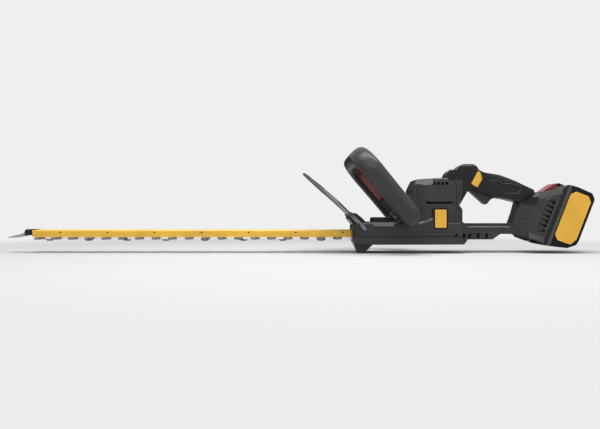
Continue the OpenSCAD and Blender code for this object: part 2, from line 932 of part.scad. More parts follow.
// Hollows inside the closed housing.
module housing_hollow() {
  inner = housing_half - shell;
  // around the gear case and the end of the bar
  block(
    [case_front + shell, -case_half + shell, seam_z - 1],
    [case_back - 26, case_half - shell, deck_z - shell]
  );
  // around the motor
  difference() {
    union() {
      block([motor_x - can_r - 1.2, -inner, deck_z - 5], [housing_back - 9.5, inner, 92]);
      side(
        [
          [motor_x - can_r - 1.2, 91.9], [motor_x - can_r - 1.2, end_cap_top + 0.6],
          [gear_x + 19, housing_top - 4],
          [housing_back - 9.5, housing_top - 4], [housing_back - 9.5, 91.9]
        ],
        -inner + 6, inner - 6
      );
    }
    for (z = [can_z + 8, can_top - 10])
      difference() {
        block([0, -far, z], [motor_x + can_r + 3, far, z + 3]);
        disc(motor_x, 0, can_r + seat, 0, far);
      }
  }
  // wiring duct through the bridge into the foot
  block([case_back - 40, -bridge_half + shell, 42], [foot_front + 30, bridge_half - shell, bridge_top - 6]);
  // chamber for the electronics in the foot
  in_pack()
    block([-34, -foot_half + shell + 4, 22], [-10.4 - rail_reach, foot_half - shell - 4, 85.5]);
}

module vents() {
  for (i = [0:3], s = [-1, 1])
    translate([motor_x + 15 + i * 7.9, s * housing_half, 133.2])
      cube([4.6, 24, 5.2], center = true);
  for (x = [304, 320.2, 336.6, 353, 369.4])
    side([[x - 3.6, 28], [x + 1.6, 28], [x + 3.6, 37.6], [x - 1.4, 37.6]], -far, far);
}

module foot_slots() {
  in_pack() {
    for (y = [-rail_y, rail_y])
      rail(y, fit, rail_low - fit, far);
    block([-tongue_t - fit - 4, -tongue_y - fit, rail_low + 4], [1, tongue_y + fit, far]);
  }
}

module housing() {
  difference() {
    union() {
      lower_block();
      motor_block();
      barrel();
      bridge();
      foot_block();
      plate_pads();
    }
    difference() {
      housing_hollow();
      for (p = housing_screw_spots)
        rod_y(p.x, p.y, screw_r + 2.6, -far, far);
    }
    cross_seat(seat);
    vents();
    foot_slots();
    foot_panels();
    // way in for the bar and the blades
    block([case_front - 1, -bar_half - 1, 0], [case_front + 9, bar_half + 1, bar_top + 1]);
    // long ventilation slot across the motor housing
    for (s = [-1, 1])
      translate([motor_x + 24.5, s * housing_half, 96.4])
        cube([52, 9, 4], center = true);
    // pocket of the side plates
    for (s = [-1, 1])
      block(
        [plate_x0 + 3, s * (case_half + 0.6) - 0.8, plate_z0 + 2.5],
        [plate_x1 - 3, s * (case_half + 0.6) + 0.8, plate_z1 - 2.5]
      );
    rear_joint();
    release_pocket();
    each_housing_screw(screw_r + run);
    each_guard_screw(screw_r + run);
    pad_recess(seat);
    release_bore();
  }
}

// Where the black rear handle seats on the grey housing.
module rear_joint() {
  side(rear_outline, -far, far);
  side(saddle_outline, -far, far);
  side(strip_outline, -rear_half + 2, rear_half - 2);
}

housing_screw_spots = [
  [case_front + 5, 50], [motor_x + 48, 116], [motor_x + 52, 50], [foot_front - 20, 47.5],
  [foot_front + 12, 62], [foot_front + 27, 76]
];

module each_housing_screw(r) {
  for (p = housing_screw_spots)
    rod_y(p.x, p.y, r, -14, 14);
}

module housing_left() {
  color("dimgray")
    left_half()
      housing();
}

module housing_right() {
  color("dimgray")
    right_half()
      housing();
}

module housing_screws() {
  color("black")
    for (p = housing_screw_spots)
      rod_y(p.x, p.y, screw_r, -13, 13);
}

pad_x0 = bar_root + 47;
pad_x1 = bar_root + 84;
pad_half = 30;

module pad_recess(gap) {
  plan(
    box_outline(pad_x0 - gap, pad_x1 + gap, -pad_half - gap, pad_half + gap, 12),
    deck_z - 1.2, deck_z + 10
  );
}

module top_pad() {
  color("black")
    difference() {
      intersection() {
        side(soft([
          [pad_x0, deck_z - 1.2 + seat], [pad_x1, deck_z - 1.2 + seat], [pad_x1, deck_z + 6, 2],
          [pad_x0, deck_z + 6.6, 3]
        ]), -pad_half, pad_half);
        plan(box_outline(pad_x0, pad_x1, -pad_half, pad_half, 12), 0, far);
      }
      cross_seat(fit);
    }
}

// Lower cover with the foot that the trimmer stands on.
module bottom_cover() {
  color("dimgray")
    difference() {
      union() {
        intersection() {
          side(soft([
            [case_front, seam_z - seat], [case_front, 25, 2], [case_front + 5, 19],
            [bar_root + 48, 16.4, 4], [case_back - 7, 16.8, 3], [case_back, 24.4, 2],
            [case_back, seam_z - seat]
          ]), -case_half, case_half);
          plan(case_outline, 0, far);
          // shadow line along the seam
          front([
            [-case_half - 1, 0], [case_half + 1, 0], [case_half + 1, seam_z - 2],
            [case_half - 1.2, seam_z - 1.8], [case_half - 1.2, seam_z],
            [-case_half + 1.2, seam_z], [-case_half + 1.2, seam_z - 1.8], [-case_half - 1, seam_z - 2]
          ], 0, far);
        }
        side(soft([
          [case_front, 26], [bar_root + 16.5, 0, 2], [bar_root + 28.5, 0, 3],
          [bar_root + 43, 14.6, 4], [bar_root + 53, 20]
        ]), -22, 22);
      }
      // room for the blades, their drive and the crank
      block([case_front - 1, -18, 22], [gear_x - 30, 18, seam_z + 1]);
      disc(gear_x, 0, 2 * stroke + cam_r + 10, lower_bottom - 3.4, seam_z + 1);
      disc(gear_x - 12, 0, 2 * stroke + cam_r + 6, lower_bottom - 3.4, seam_z + 1);
      disc(gear_x + 12, 0, 2 * stroke + cam_r + 6, lower_bottom - 3.4, seam_z + 1);
      block([motor_x + 12, -30, 20.5], [case_back - 14, 30, seam_z + 1]);
      for (i = [0:4])
        translate([motor_x + 34 + i * 8, 0, 18])
          cube([3.6, 40, 8], center = true);
      bridge_gap();
      each_bottom_screw(screw_r + run, 0);
    }
}

module bridge_gap() {
  block([case_back - 25 - seat, -bridge_half - seat, 25.4], [far, bridge_half + seat, 60]);
}

bottom_screw_spots = [
  [bar_root + 30, 32], [bar_root + 30, -32], [gear_x + 66, 34], [gear_x + 66, -34]
];

module each_bottom_screw(r, z0) {
  for (p = bottom_screw_spots)
    disc(p.x, p.y, r, z0, seam_z + 1);
}

module bottom_screws() {
  color("black")
    for (p = bottom_screw_spots) {
      disc(p.x, p.y, screw_r, 20, seam_z - 0.5);
    }
}

// ---------- front handle ----------
bar_reach = 2;
bar_depth = 8.9;
flange_gap = 2.1;
slot_gap = 0.8;
bar_in = loop_half - grip_b - bar_reach;
bar_out = bar_in + bar_depth;
bar_low = 42;
bar_top_in = loop_height - grip_b - bar_reach;
bar_half_w = 7.6;
boss_r = 4.2;
loop_boss_spots = [
  [loop_half + 3, 30], [loop_half + 3, 88], [48, loop_height + 4.5],
  [-48, loop_height + 4.5], [-loop_half - 3, 88], [-loop_half - 3, 30]
];

// Rounded band in the loop's plane, open at the bottom, with its depth along X.
module band(inner, outer, top_in, top_out, low, half_w) {
  translate([-half_w, 0, 0])
    rotate([90, 0, 90])
      linear_extrude(2 * half_w)
        difference() {
          polygon(soft([
            [-outer, low], [outer, low], [outer, top_out, 30], [-outer, top_out, 30]
          ], 6));
          polygon(soft([
            [-inner, low - 1], [inner, low - 1], [inner, top_in, 22], [-inner, top_in, 22]
          ], 6));
        }
}

module front_loop() {
  difference() {
    union() {
      difference() {
        loop_tube(grip_a, grip_b, cross_a, cross_b, 0);
        loop_tube(
          grip_a - loop_shell, grip_b - loop_shell, cross_a - loop_shell, cross_b - loop_shell, loop_shell
        );
      }
      intersection() {
        loop_tube(grip_a - 1, grip_b - 1, cross_a - 1, cross_b - 1, 0);
        for (p = loop_boss_spots)
          rod_x(p.x, p.y, boss_r, -grip_a, grip_a);
      }
    }
    for (p = loop_boss_spots) {
      rod_x(p.x, p.y, 1.6, -grip_a + 6, grip_a - 4);
      rod_x(p.x, p.y, 3.2, -grip_a - 1, -grip_a + 8.2);
    }
    // slot of the switch bar, wide enough for its travel
    band(
      bar_in - 2, bar_out + fit, bar_top_in - 2, bar_top_in + bar_depth + switch_travel + fit,
      bar_low - slot_gap, bar_half_w + slot_gap
    );
  }
}

module handle_front_shell() {
  color("dimgray")
    in_loop()
      intersection() {
        front_loop();
        block([-60, -200, -60], [0, 200, 300]);
      }
}

module handle_rear_shell() {
  color("dimgray")
    in_loop()
      intersection() {
        front_loop();
        block([0, -200, -60], [60, 200, 300]);
      }
}

module front_switch_bar() {
  color("darkred")
    in_loop()
      difference() {
        union() {
          band(bar_in, bar_out, bar_top_in, bar_top_in + bar_depth, bar_low, bar_half_w);
          band(
            loop_half - grip_b + loop_shell + flange_gap, bar_out,
            loop_height - grip_b + loop_shell + flange_gap, bar_top_in + bar_depth,
            bar_low + 4, bar_half_w + 2.4
          );
        }
        for (p = loop_boss_spots)
          rod_x(p.x, p.y, boss_r + 1, -grip_a, grip_a);
      }
}

module front_switch_springs() {
  top = loop_height + grip_b - loop_shell - seat;
  color("silver")
    in_loop()
      for (s = [-1, 1])
        difference() {
          disc(0, s * 26, 3.4, bar_top_in + bar_depth + switch_travel + 0.6, top - 0.3);
          disc(0, s * 26, 2.4, 0, far);
        }
}

module front_microswitch() {
  low = bar_top_in + bar_depth + switch_travel + 0.6;
  color("black")
    in_loop()
      union() {
        block([-4, -10, low + 2], [4, 10, loop_height + grip_b - loop_shell - 0.4]);
        block([-1.5, 4, low], [1.5, 7, low + 2.5]);
      }
}

module handle_screws() {
  color("black")
    in_loop()
      for (p = loop_boss_spots)
        union() {
          rod_x(p.x, p.y, 1.5, -grip_a + 7, grip_a - 5);
          rod_x(p.x, p.y, 3, -grip_a + 6.1, -grip_a + 8);
        }
}

// ---------- hand guard ----------
guard_foot = [bar_root + 29, deck_z - 11.5];
guard_knee = [bar_root - 24, deck_z + 44];
guard_tip = [bar_root - 87.5, deck_z + 94.8];
guard_path = concat(
  [guard_foot],
  corner(guard_knee, guard_foot, guard_tip, 150, 6),
  [guard_tip]
);

// A bent strip: the path offset to its left by t, with mitred joints.
function path_normal(path, i) =
  let(
    a = path[max(i - 1, 0)],
    b = path[min(i + 1, len(path) - 1)],
    d = unit(b - a)
  )
  [-d.y, d.x];

function strip(path, near, off) =
  concat(
    [for (i = [0:len(path) - 1]) path[i] + path_normal(path, i) * near],
    [for (i = [len(path) - 1:-1:0]) path[i] + path_normal(path, i) * off]
  );

module guard_sheet(gap) {
  side(strip(guard_path, -gap, guard_t + gap), -guard_half, guard_half);
}

module guard_outline() {
  front(soft([
    [-case_half - 3.4, deck_z - 20], [case_half + 3.4, deck_z - 20],
    [case_half + 3.4, deck_z + 4, 14], [guard_half - 4, deck_z + 24, 16], [guard_half, deck_z + 50, 30],
    [guard_half - 20, deck_z + 83, 20], [0, deck_z + 96, 60], [-guard_half + 20, deck_z + 83, 20],
    [-guard_half, deck_z + 50, 30], [-guard_half + 4, deck_z + 24, 16],
    [-case_half - 3.4, deck_z + 4, 14]
  ]), 0, far);
}

ear_outline = soft([
  [bar_root - 5, deck_z + 16, 2], [bar_root + 3, deck_z + 17, 3], [bar_root + 30, deck_z - 10, 3],
  [bar_root + 49, deck_z - 22, 2], [bar_root + 40, deck_z - 26, 4], [bar_root + 10, deck_z - 8, 4]
]);

module hand_guard() {
  color("lightgray", 0.7)
    difference() {
      union() {
        intersection() {
          guard_sheet(0);
          guard_outline();
        }
        intersection() {
          union() {
            for (y = [-30, 0, 30])
              side(strip(guard_path, guard_t - 0.5, guard_t + 1.6), y - 3, y + 3);
          }
          front([
            [-60, deck_z + 46], [60, deck_z + 46], [60, deck_z + 74], [-60, deck_z + 74]
          ], 0, far);
        }
        for (s = [0, 1])
          mirror([0, s, 0])
            side(ear_outline, case_half + fit, case_half + fit + guard_t);
      }
      // room for the gear case between the ears
      block([0, -case_half - fit, 0], [far, case_half + fit, deck_z + 1.5]);
      each_guard_screw(screw_r + run);
    }
}

guard_screw_x = bar_root + 14;
guard_screw_z = deck_z - 7;

module each_guard_screw(r) {
  for (s = [-1, 1])
    rod_y(guard_screw_x, guard_screw_z, r, s * (case_half + 2) - 12, s * (case_half + 2) + 12);
}

// Black clamp that holds the guard on the nose of the gear case.
module guard_bracket() {
  color("black")
    difference() {
      union() {
        side(soft([
          [bar_root - 3, deck_z + 15, 1], [bar_root - 3, deck_z + 5.5, 2], [bar_root + 5, deck_z - 4.6],
          [bar_root + 26.4, deck_z + seat], [bar_root + 28.4, deck_z + seat],
          [bar_root + 27, deck_z + 2.6, 1], [bar_root + 19, deck_z + 10, 8],
          [bar_root + 11, deck_z + 16.2, 3], [bar_root + 3.5, deck_z + 17.2, 1]
        ]), -case_half + 2, case_half - 2);
        // plate that backs the sheet from the front
        intersection() {
          side(strip(guard_path, guard_t + seat, guard_t + 3), -34, 34);
          front(soft([
            [-34, deck_z + 6], [34, deck_z + 6], [34, deck_z + 36, 10], [20, deck_z + 42, 10],
            [-20, deck_z + 42, 10], [-34, deck_z + 36, 10]
          ]), 0, far);
        }
      }
      intersection() {
        guard_sheet(seat);
        block([0, -far, deck_z + 1], [far, far, far]);
      }
      // case slope with a small gap
      side([
        [bar_root + 1, deck_z - 8], [case_front - 0.2, deck_z - 5.6], [bar_root + 26, deck_z + seat],
        [bar_root + 60, deck_z + seat], [bar_root + 60, deck_z - 20], [bar_root + 1, deck_z - 20]
      ], -far, far);
    }
}

module guard_screws() {
  color("black")
    for (s = [-1, 1])
      union() {
        rod_y(
          guard_screw_x, guard_screw_z, screw_r,
          s > 0 ? case_half - 2.2 : -case_half - guard_t - 1,
          s > 0 ? case_half + guard_t + 1 : -case_half + 2.2
        );
        rod_y(
          guard_screw_x, guard_screw_z, 4.4,
          s > 0 ? case_half + fit + guard_t : -case_half - fit - guard_t - 2,
          s > 0 ? case_half + fit + guard_t + 2 : -case_half - fit - guard_t
        );
      }
}

// ---------- rear handle ----------
rear_outline = soft([
  [290.5, housing_top - 3], [290.5, 148, 2], [294, 155, 3], [299.5, 159.8, 3], [311.5, 161, 3],
  [318, 168, 4], [326.5, 172.6, 4], [344.6, 172.8, 5], [351.5, 167, 3], [354.6, 160.5, 4],
  [366, 155.4, 6], [396, 151.2, 8], [411, 145.7, 10], [426, 139.3, 10], [440, 132, 8],
  [461.5, 121.7], [461, 108], [434.9, 97.4, 2], [409, 104.2, 12], [392, 107, 8], [382, 109], [341, 124.4],
  [332.6, 118.2], [housing_back, 122.7], [housing_back, housing_top - 3]
]);
// The black cover over the front shoulder of the foot and down the back of the motor housing.
saddle_outline = soft([
  [434, 96.5], [440, 93, 2], [459, 91.5, 3], [464, 111, 2], [463, 121], [459, 125], [428, 120]
]);
strip_outline = [[332.1, 117.6], [316.8, 91.2], [311, 91.2], [housing_back - 1, 124], [341, 124.4]];

pivot_x = 347;
pivot_z = 129;
trigger_half = 8;
button_x = 306;

module rear_form() {
  intersection() {
    foot_block();
    side(saddle_outline, -foot_half, foot_half);
  }
  intersection() {
    union() {
      side(rear_outline, -rear_half, rear_half);
      side(strip_outline, -rear_half, rear_half);
    }
    union() {
      // rounded grip along its slope
      translate([400, 0, 124])
        rotate([0, 18, 0])
          front(soft([
            [-rear_half, -26.5, 9], [rear_half, -26.5, 9], [rear_half, 26, 12], [-rear_half, 26, 12]
          ]), -50, 80);
      // hump with soft edges
      front(soft([
        [-rear_half + 2, 90], [rear_half - 2, 90], [rear_half - 2, 172.6, 7], [-rear_half + 2, 172.6, 7]
      ]), 280, 364);
    }
  }
}

module rear_grip() {
  difference() {
    rear_form();
    // hollow for the switch and the wiring
    side(soft([
      [350, 139], [366, 147.5, 4], [392, 143, 4], [422, 132, 4], [432, 123, 3],
      [424, 109.5, 3], [405, 113, 3], [398, 126], [356, 138]
    ]), -rear_half + 4.5, rear_half - 4.5);
    // slot of the trigger
    side([
      [333, 100], [338.6, 134], [355, 139], [398, 127], [398, 90], [333, 90]
    ], -trigger_half - fit, trigger_half + fit);
    rod_y(pivot_x, pivot_z, 2 + run, -rear_half + 4, rear_half - 4);
    // shaft of the lock button
    disc(button_x, 0, 6 + fit, 139, 180);
    // grooves of the ribbed hump
    for (i = [0:4])
      side([
        [322 + i * 5, 176], [324 + i * 5, 176], [323.4 + i * 5, 170.8], [322.6 + i * 5, 170.8]
      ], -far, far);
    // recesses of the coloured inserts and the soft side panels
    for (s = [-1, 1]) {
      block_side(insert_outline, s, rear_half - 2, 0.8);
      block_side(panel_outline, s, rear_half, 0.5);
    }
    for (p = rear_screw_spots)
      rod_y(p.x, p.y, 1.6 + run, -rear_half + 5, rear_half - 5);
  }
}

insert_outline = soft([
  [353, 158.6, 1.5], [358.3, 155.2, 1.5], [362.2, 143.3, 2], [352.2, 126, 1], [340, 133.8, 1]
]);
panel_outline = soft([[398, 138, 3], [410, 134, 2], [436, 120, 3], [428, 112.5, 3], [402, 122.5, 3]]);
rear_screw_spots = [[376, 151], [440, 110], [294.8, 149.6]];

// A shallow pocket or plate on one side: s picks the side, at is the face, depth goes inward.
module block_side(outline, s, at, depth) {
  side(outline, s > 0 ? at - depth : -at - 3, s > 0 ? at + 3 : -at + depth);
}

module rear_grip_left() {
  color("black")
    left_half()
      rear_grip();
}

module rear_grip_right() {
  color("black")
    right_half()
      rear_grip();
}

module grip_inserts() {
  color("gold")
    for (s = [-1, 1])
      side(
        insert_outline,
        s > 0 ? rear_half - 2.8 : -rear_half + 1.9, s > 0 ? rear_half - 1.9 : -rear_half + 2.8
      );
}

module side_plates() {
  color("gold")
    for (s = [-1, 1])
      difference() {
        side(
          box_outline(plate_x0 + 3.2, plate_x1 - 3.2, plate_z0 + 2.7, plate_z1 - 2.7, 1.5),
          s > 0 ? case_half - 0.2 : -case_half - 1, s > 0 ? case_half + 1 : -case_half + 0.2
        );
      }
}

// The trigger swings about its pin and stays clear of the grip's slot.
module trigger() {
  color("dimgray")
    difference() {
      side(soft([
        [pivot_x - 5, pivot_z + 3, 3], [pivot_x - 8, 120.5, 3], [368, 94.8, 3], [372.4, 93.5, 2],
        [380.5, 103.6, 6], [390.4, 107.8, 2], [387.5, 118, 3], [365, 123.8, 6], [pivot_x + 5, pivot_z + 3, 3]
      ]), -trigger_half, trigger_half);
      rod_y(pivot_x, pivot_z, 2 + run, -far, far);
      side(soft([
        [355, 118, 1], [369, 104, 2], [380, 110, 2], [376, 117.5, 2], [363, 120.5, 1]
      ]), -trigger_half + 2, far);
    }
}

module trigger_pin() {
  color("silver")
    rod_y(pivot_x, pivot_z, 2, -rear_half + 4.4, rear_half - 4.4);
}

// Compression spring drawn at its fully pressed length, between the switch and the trigger.
module coil(r, wire, turns, height) {
  steps = 14;
  count = turns * steps;
  sides = 6;
  ring = [for (i = [0:count], k = [0:sides - 1])
    let(a = i * 360 / steps, b = k * 360 / sides, w = r + wire * cos(b))
    [w * cos(a), w * sin(a), wire * sin(b) + i * height / count]];
  polyhedron(
    points = ring,
    faces = concat(
      [[for (k = [0:sides - 1]) k]],
      [[for (k = [sides - 1:-1:0]) count * sides + k]],
      [for (i = [0:count - 1], k = [0:sides - 1])
        [i * sides + k, (i + 1) * sides + k, (i + 1) * sides + (k + 1) % sides, i * sides + (k + 1) % sides]]
    )
  );
}

switch_low = 127.4;

module trigger_switch() {
  color("darkslategray")
    difference() {
      union() {
        block([365, -trigger_half - seat, switch_low + 2.4], [389, trigger_half + seat, 136]);
        block([383, -2, switch_low], [386, 2, switch_low + 2.5]);
      }
      disc(373, 0, 3.2, 120, 134);
    }
}

module trigger_spring() {
  color("silver")
    translate([373, 0, 126.6])
      coil(2.2, 0.35, 5, 7);
}

module lock_button() {
  color("gainsboro")
    union() {
      disc(button_x, 0, 6, 149.4, 161.6);
      translate([button_x, 0, 161.6])
        cylinder(r1 = 6, r2 = 4.8, h = 1);
      disc(button_x, 0, 2, 146.5, 149.4);
    }
}

module lock_spring() {
  color("silver")
    translate([button_x, 0, housing_top - 2.45])
      coil(3.6, 0.4, 5, 7.8);
}

// ---------- electronics in the foot ----------
module control_board() {
  color("green")
    in_pack()
      union() {
        block([-30, -foot_half + shell + 4.2, 30], [-28.2, foot_half - shell - 4.2, 84]);
        block([-28.2, -18, 36], [-22, -6, 58]);
        block([-28.2, 6, 62], [-21, 20, 76]);
        for (z = [40:6:58])
          disc(-25, 12, 2.6, z, z + 5);
      }
}

module terminal_block() {
  color("black")
    in_pack()
      union() {
        block([-tongue_t - fit - 3.6, -tongue_y + 1, rail_low + 4.4], [-1, tongue_y - 1, rail_low + 13]);
        for (y = contact_ys)
          block([-5.4, y - 0.4, rail_low + 13], [-2.4, y + 0.4, rail_low + 30]);
      }
}

// ---------- battery release on the foot ----------
hinge_x = -20;
hinge_z = 97;
hinge_r = 1.5;
release_half = 15;

module release_pocket() {
  in_pack()
    side([
      [-34.5, 88], [-42, 104], [-42, 135], [3, 135], [3, 99], [-6, 96], [-14, 91], [-24, 88]
    ], -release_half - fit, release_half + fit);
}

module release_bore() {
  in_pack()
    rod_y(hinge_x, hinge_z, hinge_r + run, -release_half - 4, release_half + 4);
}

// The release rocks about its pin: pressing its front end lifts the hook out of the battery.
module release_button() {
  color("firebrick")
    in_pack()
      difference() {
        union() {
          side(soft([
            [-31.5, 92.6, 1], [-15.8, 115.2, 2], [-12.8, 118.9, 2], [-7.8, 121.4, 1], [-7.6, 118],
            [-9, 110], [-15, 101], [-16, 94, 2], [-24, 91.5, 2]
          ]), -release_half, release_half);
          side([
            [-17, 98], [-16, 104], [-6, 112], [0.9, 112], [0.9, 107.5], [-4, 106]
          ], -latch_half + 1, latch_half - 1);
        }
        rod_y(hinge_x, hinge_z, hinge_r + run, -far, far);
      }
}

module release_pin() {
  color("silver")
    in_pack()
      rod_y(hinge_x, hinge_z, hinge_r, -release_half - 3.6, release_half + 3.6);
}

// ---------- battery ----------
pack_depth = 61.2;
cover_t = 6;
latch_half = 7;
cell_pitch = 2 * cell_r + 1;
cell_x = cover_t + pack_wall + 1.6 + cell_r;
cell_z = 12 + cell_r;
label_outline = soft([
  [22, 115, 4], [47, 115, 6], [55.4, 106, 6], [55.4, 30, 6], [48, 16.5, 6], [22, 15.5, 6],
  [13.5, 24, 5], [13.5, 106, 5]
]);

module pack_outline(grow, x0) {
  polygon(soft([
    [x0, 0 - grow], [31.5 + grow * 0.3, 4.6 - grow, 6], [45 + grow * 0.5, 8.5 - grow, 4],
    [58.4 + grow, 20 - grow * 0.5, 4], [pack_depth + grow, 30, 6], [pack_depth + grow, 112.5, 4],
    [51.6 + grow * 0.5, 122.6 + grow, 4], [23.5, 124 + grow, 10], [5.3, 122.5 + grow, 3], [x0, 116 + grow]
  ]));
}

module pack_body(grow, half, x0) {
  translate([0, half, 0])
    rotate([90, 0, 0])
      linear_extrude(2 * half)
        pack_outline(grow, x0);
}

module battery_case() {
  chamfer = 2.5;
  color("dimgray")
    in_pack()
      difference() {
        intersection() {
          pack_body(0, pack_half, cover_t);
          plan([
            [cover_t, -pack_half + 2.5], [cover_t + 5, -pack_half], [pack_depth - chamfer, -pack_half],
            [pack_depth + 1, -pack_half + chamfer], [pack_depth + 1, pack_half - chamfer],
            [pack_depth - chamfer, pack_half], [cover_t + 5, pack_half], [cover_t, pack_half - 2.5]
          ], -20, 200);
        }
        difference() {
          intersection() {
            pack_body(-pack_wall, pack_half - pack_wall - 1.5, cover_t - 1);
            block([cover_t - 1, -far, 9.5], [pack_depth - pack_wall, far, 117.5]);
          }
          each_pack_screw(pack_boss_r, 0, cover_t + 11);
        }
        for (s = [-1, 1])
          block_side(label_outline, s, pack_half, 0.7);
        each_pack_screw(1.6 + run, cover_t - 1, cover_t + 9);
      }
}

pack_screw_spots = [[-33.5, 6], [33.5, 6], [-33.5, 112.5], [33.5, 112.5]];
pack_boss_r = 4;

module each_pack_screw(r, x0, x1) {
  for (p = pack_screw_spots)
    rod_x(p.x, p.y, r, x0, x1);
}

module battery_cover() {
  color("black")
    in_pack()
      difference() {
        union() {
          intersection() {
            pack_body(0, pack_half - 1, 0);
            block([0, -far, -10], [cover_t - 0.1, far, 200]);
          }
          for (y = [-rail_y, rail_y])
            rail(y, 0, rail_low, 112);
          block([-tongue_t, -tongue_y, rail_low + 6], [1, tongue_y, 96]);
        }
        // sockets of the contacts, open downwards
        for (y = contact_ys)
          block([-5.8, y - 0.8, -10], [-2, y + 0.8, rail_low + 34]);
        // room for the terminal block
        block([-tongue_t - 1, -tongue_y - 1, -10], [-fit, tongue_y + 1, rail_low + 13.4]);
        // groove that passes the latch hook
        block([-tongue_t - 1, -latch_half, -10], [1.5, latch_half, 130]);
        each_pack_screw(1.6 + run, -1, cover_t + 1);
        each_pack_screw(3.2, -1, 1.6);
      }
}

module battery_cells() {
  color("steelblue")
    in_pack()
      for (i = [0:1], k = [0:4])
        union() {
          rod_y(cell_x + i * cell_pitch, cell_z + k * cell_pitch, cell_r, -cell_length / 2, cell_length / 2);
        }
}

module cell_holder() {
  color("ivory")
    in_pack()
      difference() {
        intersection() {
          pack_body(-pack_wall - seat, pack_half - pack_wall - 1.5 - seat, cover_t + 3);
          block([cover_t + 3, -far, 9.5 + seat], [pack_depth - pack_wall - seat, far, 117.5 - seat]);
        }
        block([-far, -cell_length / 2 + 5, -far], [far, cell_length / 2 - 5, far]);
        each_pack_screw(pack_boss_r + fit, 0, cover_t + 11.3);
        for (i = [0:1], k = [0:4])
          rod_y(
            cell_x + i * cell_pitch, cell_z + k * cell_pitch, cell_r + run,
            -cell_length / 2 - 0.2, cell_length / 2 + 0.2
          );
      }
}

module battery_board() {
  color("green")
    in_pack()
      block([cover_t + 0.2, -30, 20], [cover_t + 1.8, 30, 106]);
}

module battery_labels() {
  color("gold")
    in_pack()
      for (s = [-1, 1])
        side(
          label_outline,
          s > 0 ? pack_half - 0.7 : -pack_half - 0.2, s > 0 ? pack_half + 0.2 : -pack_half + 0.7
        );
}

module battery_screws() {
  color("silver")
    in_pack() {
      each_pack_screw(1.6, 1.5, cover_t + 8);
      each_pack_screw(3, 0.2, 1.6);
    }
}

guide_bar();
bar_end_cap();
nose_plate();
nose_rivet();
upper_blade();
lower_blade();
blade_bushes();
blade_washers();
blade_screws();
blade_nuts();
bar_screws();
gear_case();
gear_plate();
drive_gear();
crankshaft();
gear_bearings();
motor_can();
motor_magnets();
motor_end_cap();
motor_rotor();
motor_pinion();
cooling_fan();
motor_bearings();
housing_left();
housing_right();
housing_screws();
bottom_cover();
bottom_screws();
top_pad();
handle_front_shell();
handle_rear_shell();
front_switch_bar();
front_switch_springs();
front_microswitch();
handle_screws();
hand_guard();
guard_bracket();
guard_screws();
rear_grip_left();
rear_grip_right();
grip_inserts();
side_plates();
trigger();
trigger_pin();
trigger_spring();
trigger_switch();
lock_button();
lock_spring();
control_board();
terminal_block();
release_button();
release_pin();
battery_case();
battery_cover();
battery_cells();
battery_board();
battery_labels();
battery_screws();
cell_holder();
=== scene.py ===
"""Looks of a cordless hedge trimmer, built around its CAD frame."""

import json
import math

import bmesh
import bpy
from bpy.props import FloatProperty, FloatVectorProperty, PointerProperty
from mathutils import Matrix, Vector


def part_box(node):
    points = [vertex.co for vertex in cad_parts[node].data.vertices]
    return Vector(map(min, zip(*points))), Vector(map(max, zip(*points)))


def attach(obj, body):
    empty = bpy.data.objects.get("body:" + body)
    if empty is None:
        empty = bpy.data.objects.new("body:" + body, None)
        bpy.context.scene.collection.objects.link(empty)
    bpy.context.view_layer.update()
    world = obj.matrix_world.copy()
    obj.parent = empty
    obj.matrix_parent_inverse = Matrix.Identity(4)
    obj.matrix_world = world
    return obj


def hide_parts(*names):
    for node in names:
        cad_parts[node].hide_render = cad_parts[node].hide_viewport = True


bl_info = {
    "name": "Hedge trimmer",
    "version": (1, 0, 0),
    "blender": (4, 5, 0),
    "location": "3D View > Sidebar > Trimmer",
    "description": "Builds the finishes and the moulded pieces of a hedge trimmer around its CAD frame",
    "category": "Object",
}

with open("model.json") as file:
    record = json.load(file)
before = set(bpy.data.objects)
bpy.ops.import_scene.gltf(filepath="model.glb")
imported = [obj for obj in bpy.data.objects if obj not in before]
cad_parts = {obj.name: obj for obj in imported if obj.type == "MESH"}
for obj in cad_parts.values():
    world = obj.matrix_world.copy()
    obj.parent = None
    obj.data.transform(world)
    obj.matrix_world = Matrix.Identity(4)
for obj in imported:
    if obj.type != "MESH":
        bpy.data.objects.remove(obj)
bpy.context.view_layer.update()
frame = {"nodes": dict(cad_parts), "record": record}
NODES = frame["nodes"]
BODY_OF = {node: body for body, nodes in frame["record"]["behaviour"]["bodies"].items() for node in nodes}
SLOT_OF = {row["node"]: row["material_slot"] for row in frame["record"]["subparts"]}
MM = 0.001


# ---------- settings ----------
def colour(name, description, default):
    return FloatVectorProperty(
        name=name, description=description, subtype="COLOR", size=3, min=0, max=1, default=default,
    )


def size(name, description, default_mm, low=0.0, high=1000.0):
    return FloatProperty(
        name=name, description=description, unit="LENGTH", subtype="DISTANCE",
        default=default_mm * MM, min=low * MM, max=high * MM,
    )


def watts(name, description, default):
    """The power of a lamp."""
    return FloatProperty(name=name, description=description, default=default, min=0, max=500)


def side_point(name, description, along_mm, up_mm):
    """A point of the middle plane."""
    return FloatVectorProperty(
        name=name, description=description, size=2, unit="LENGTH", default=(along_mm * MM, up_mm * MM),
    )


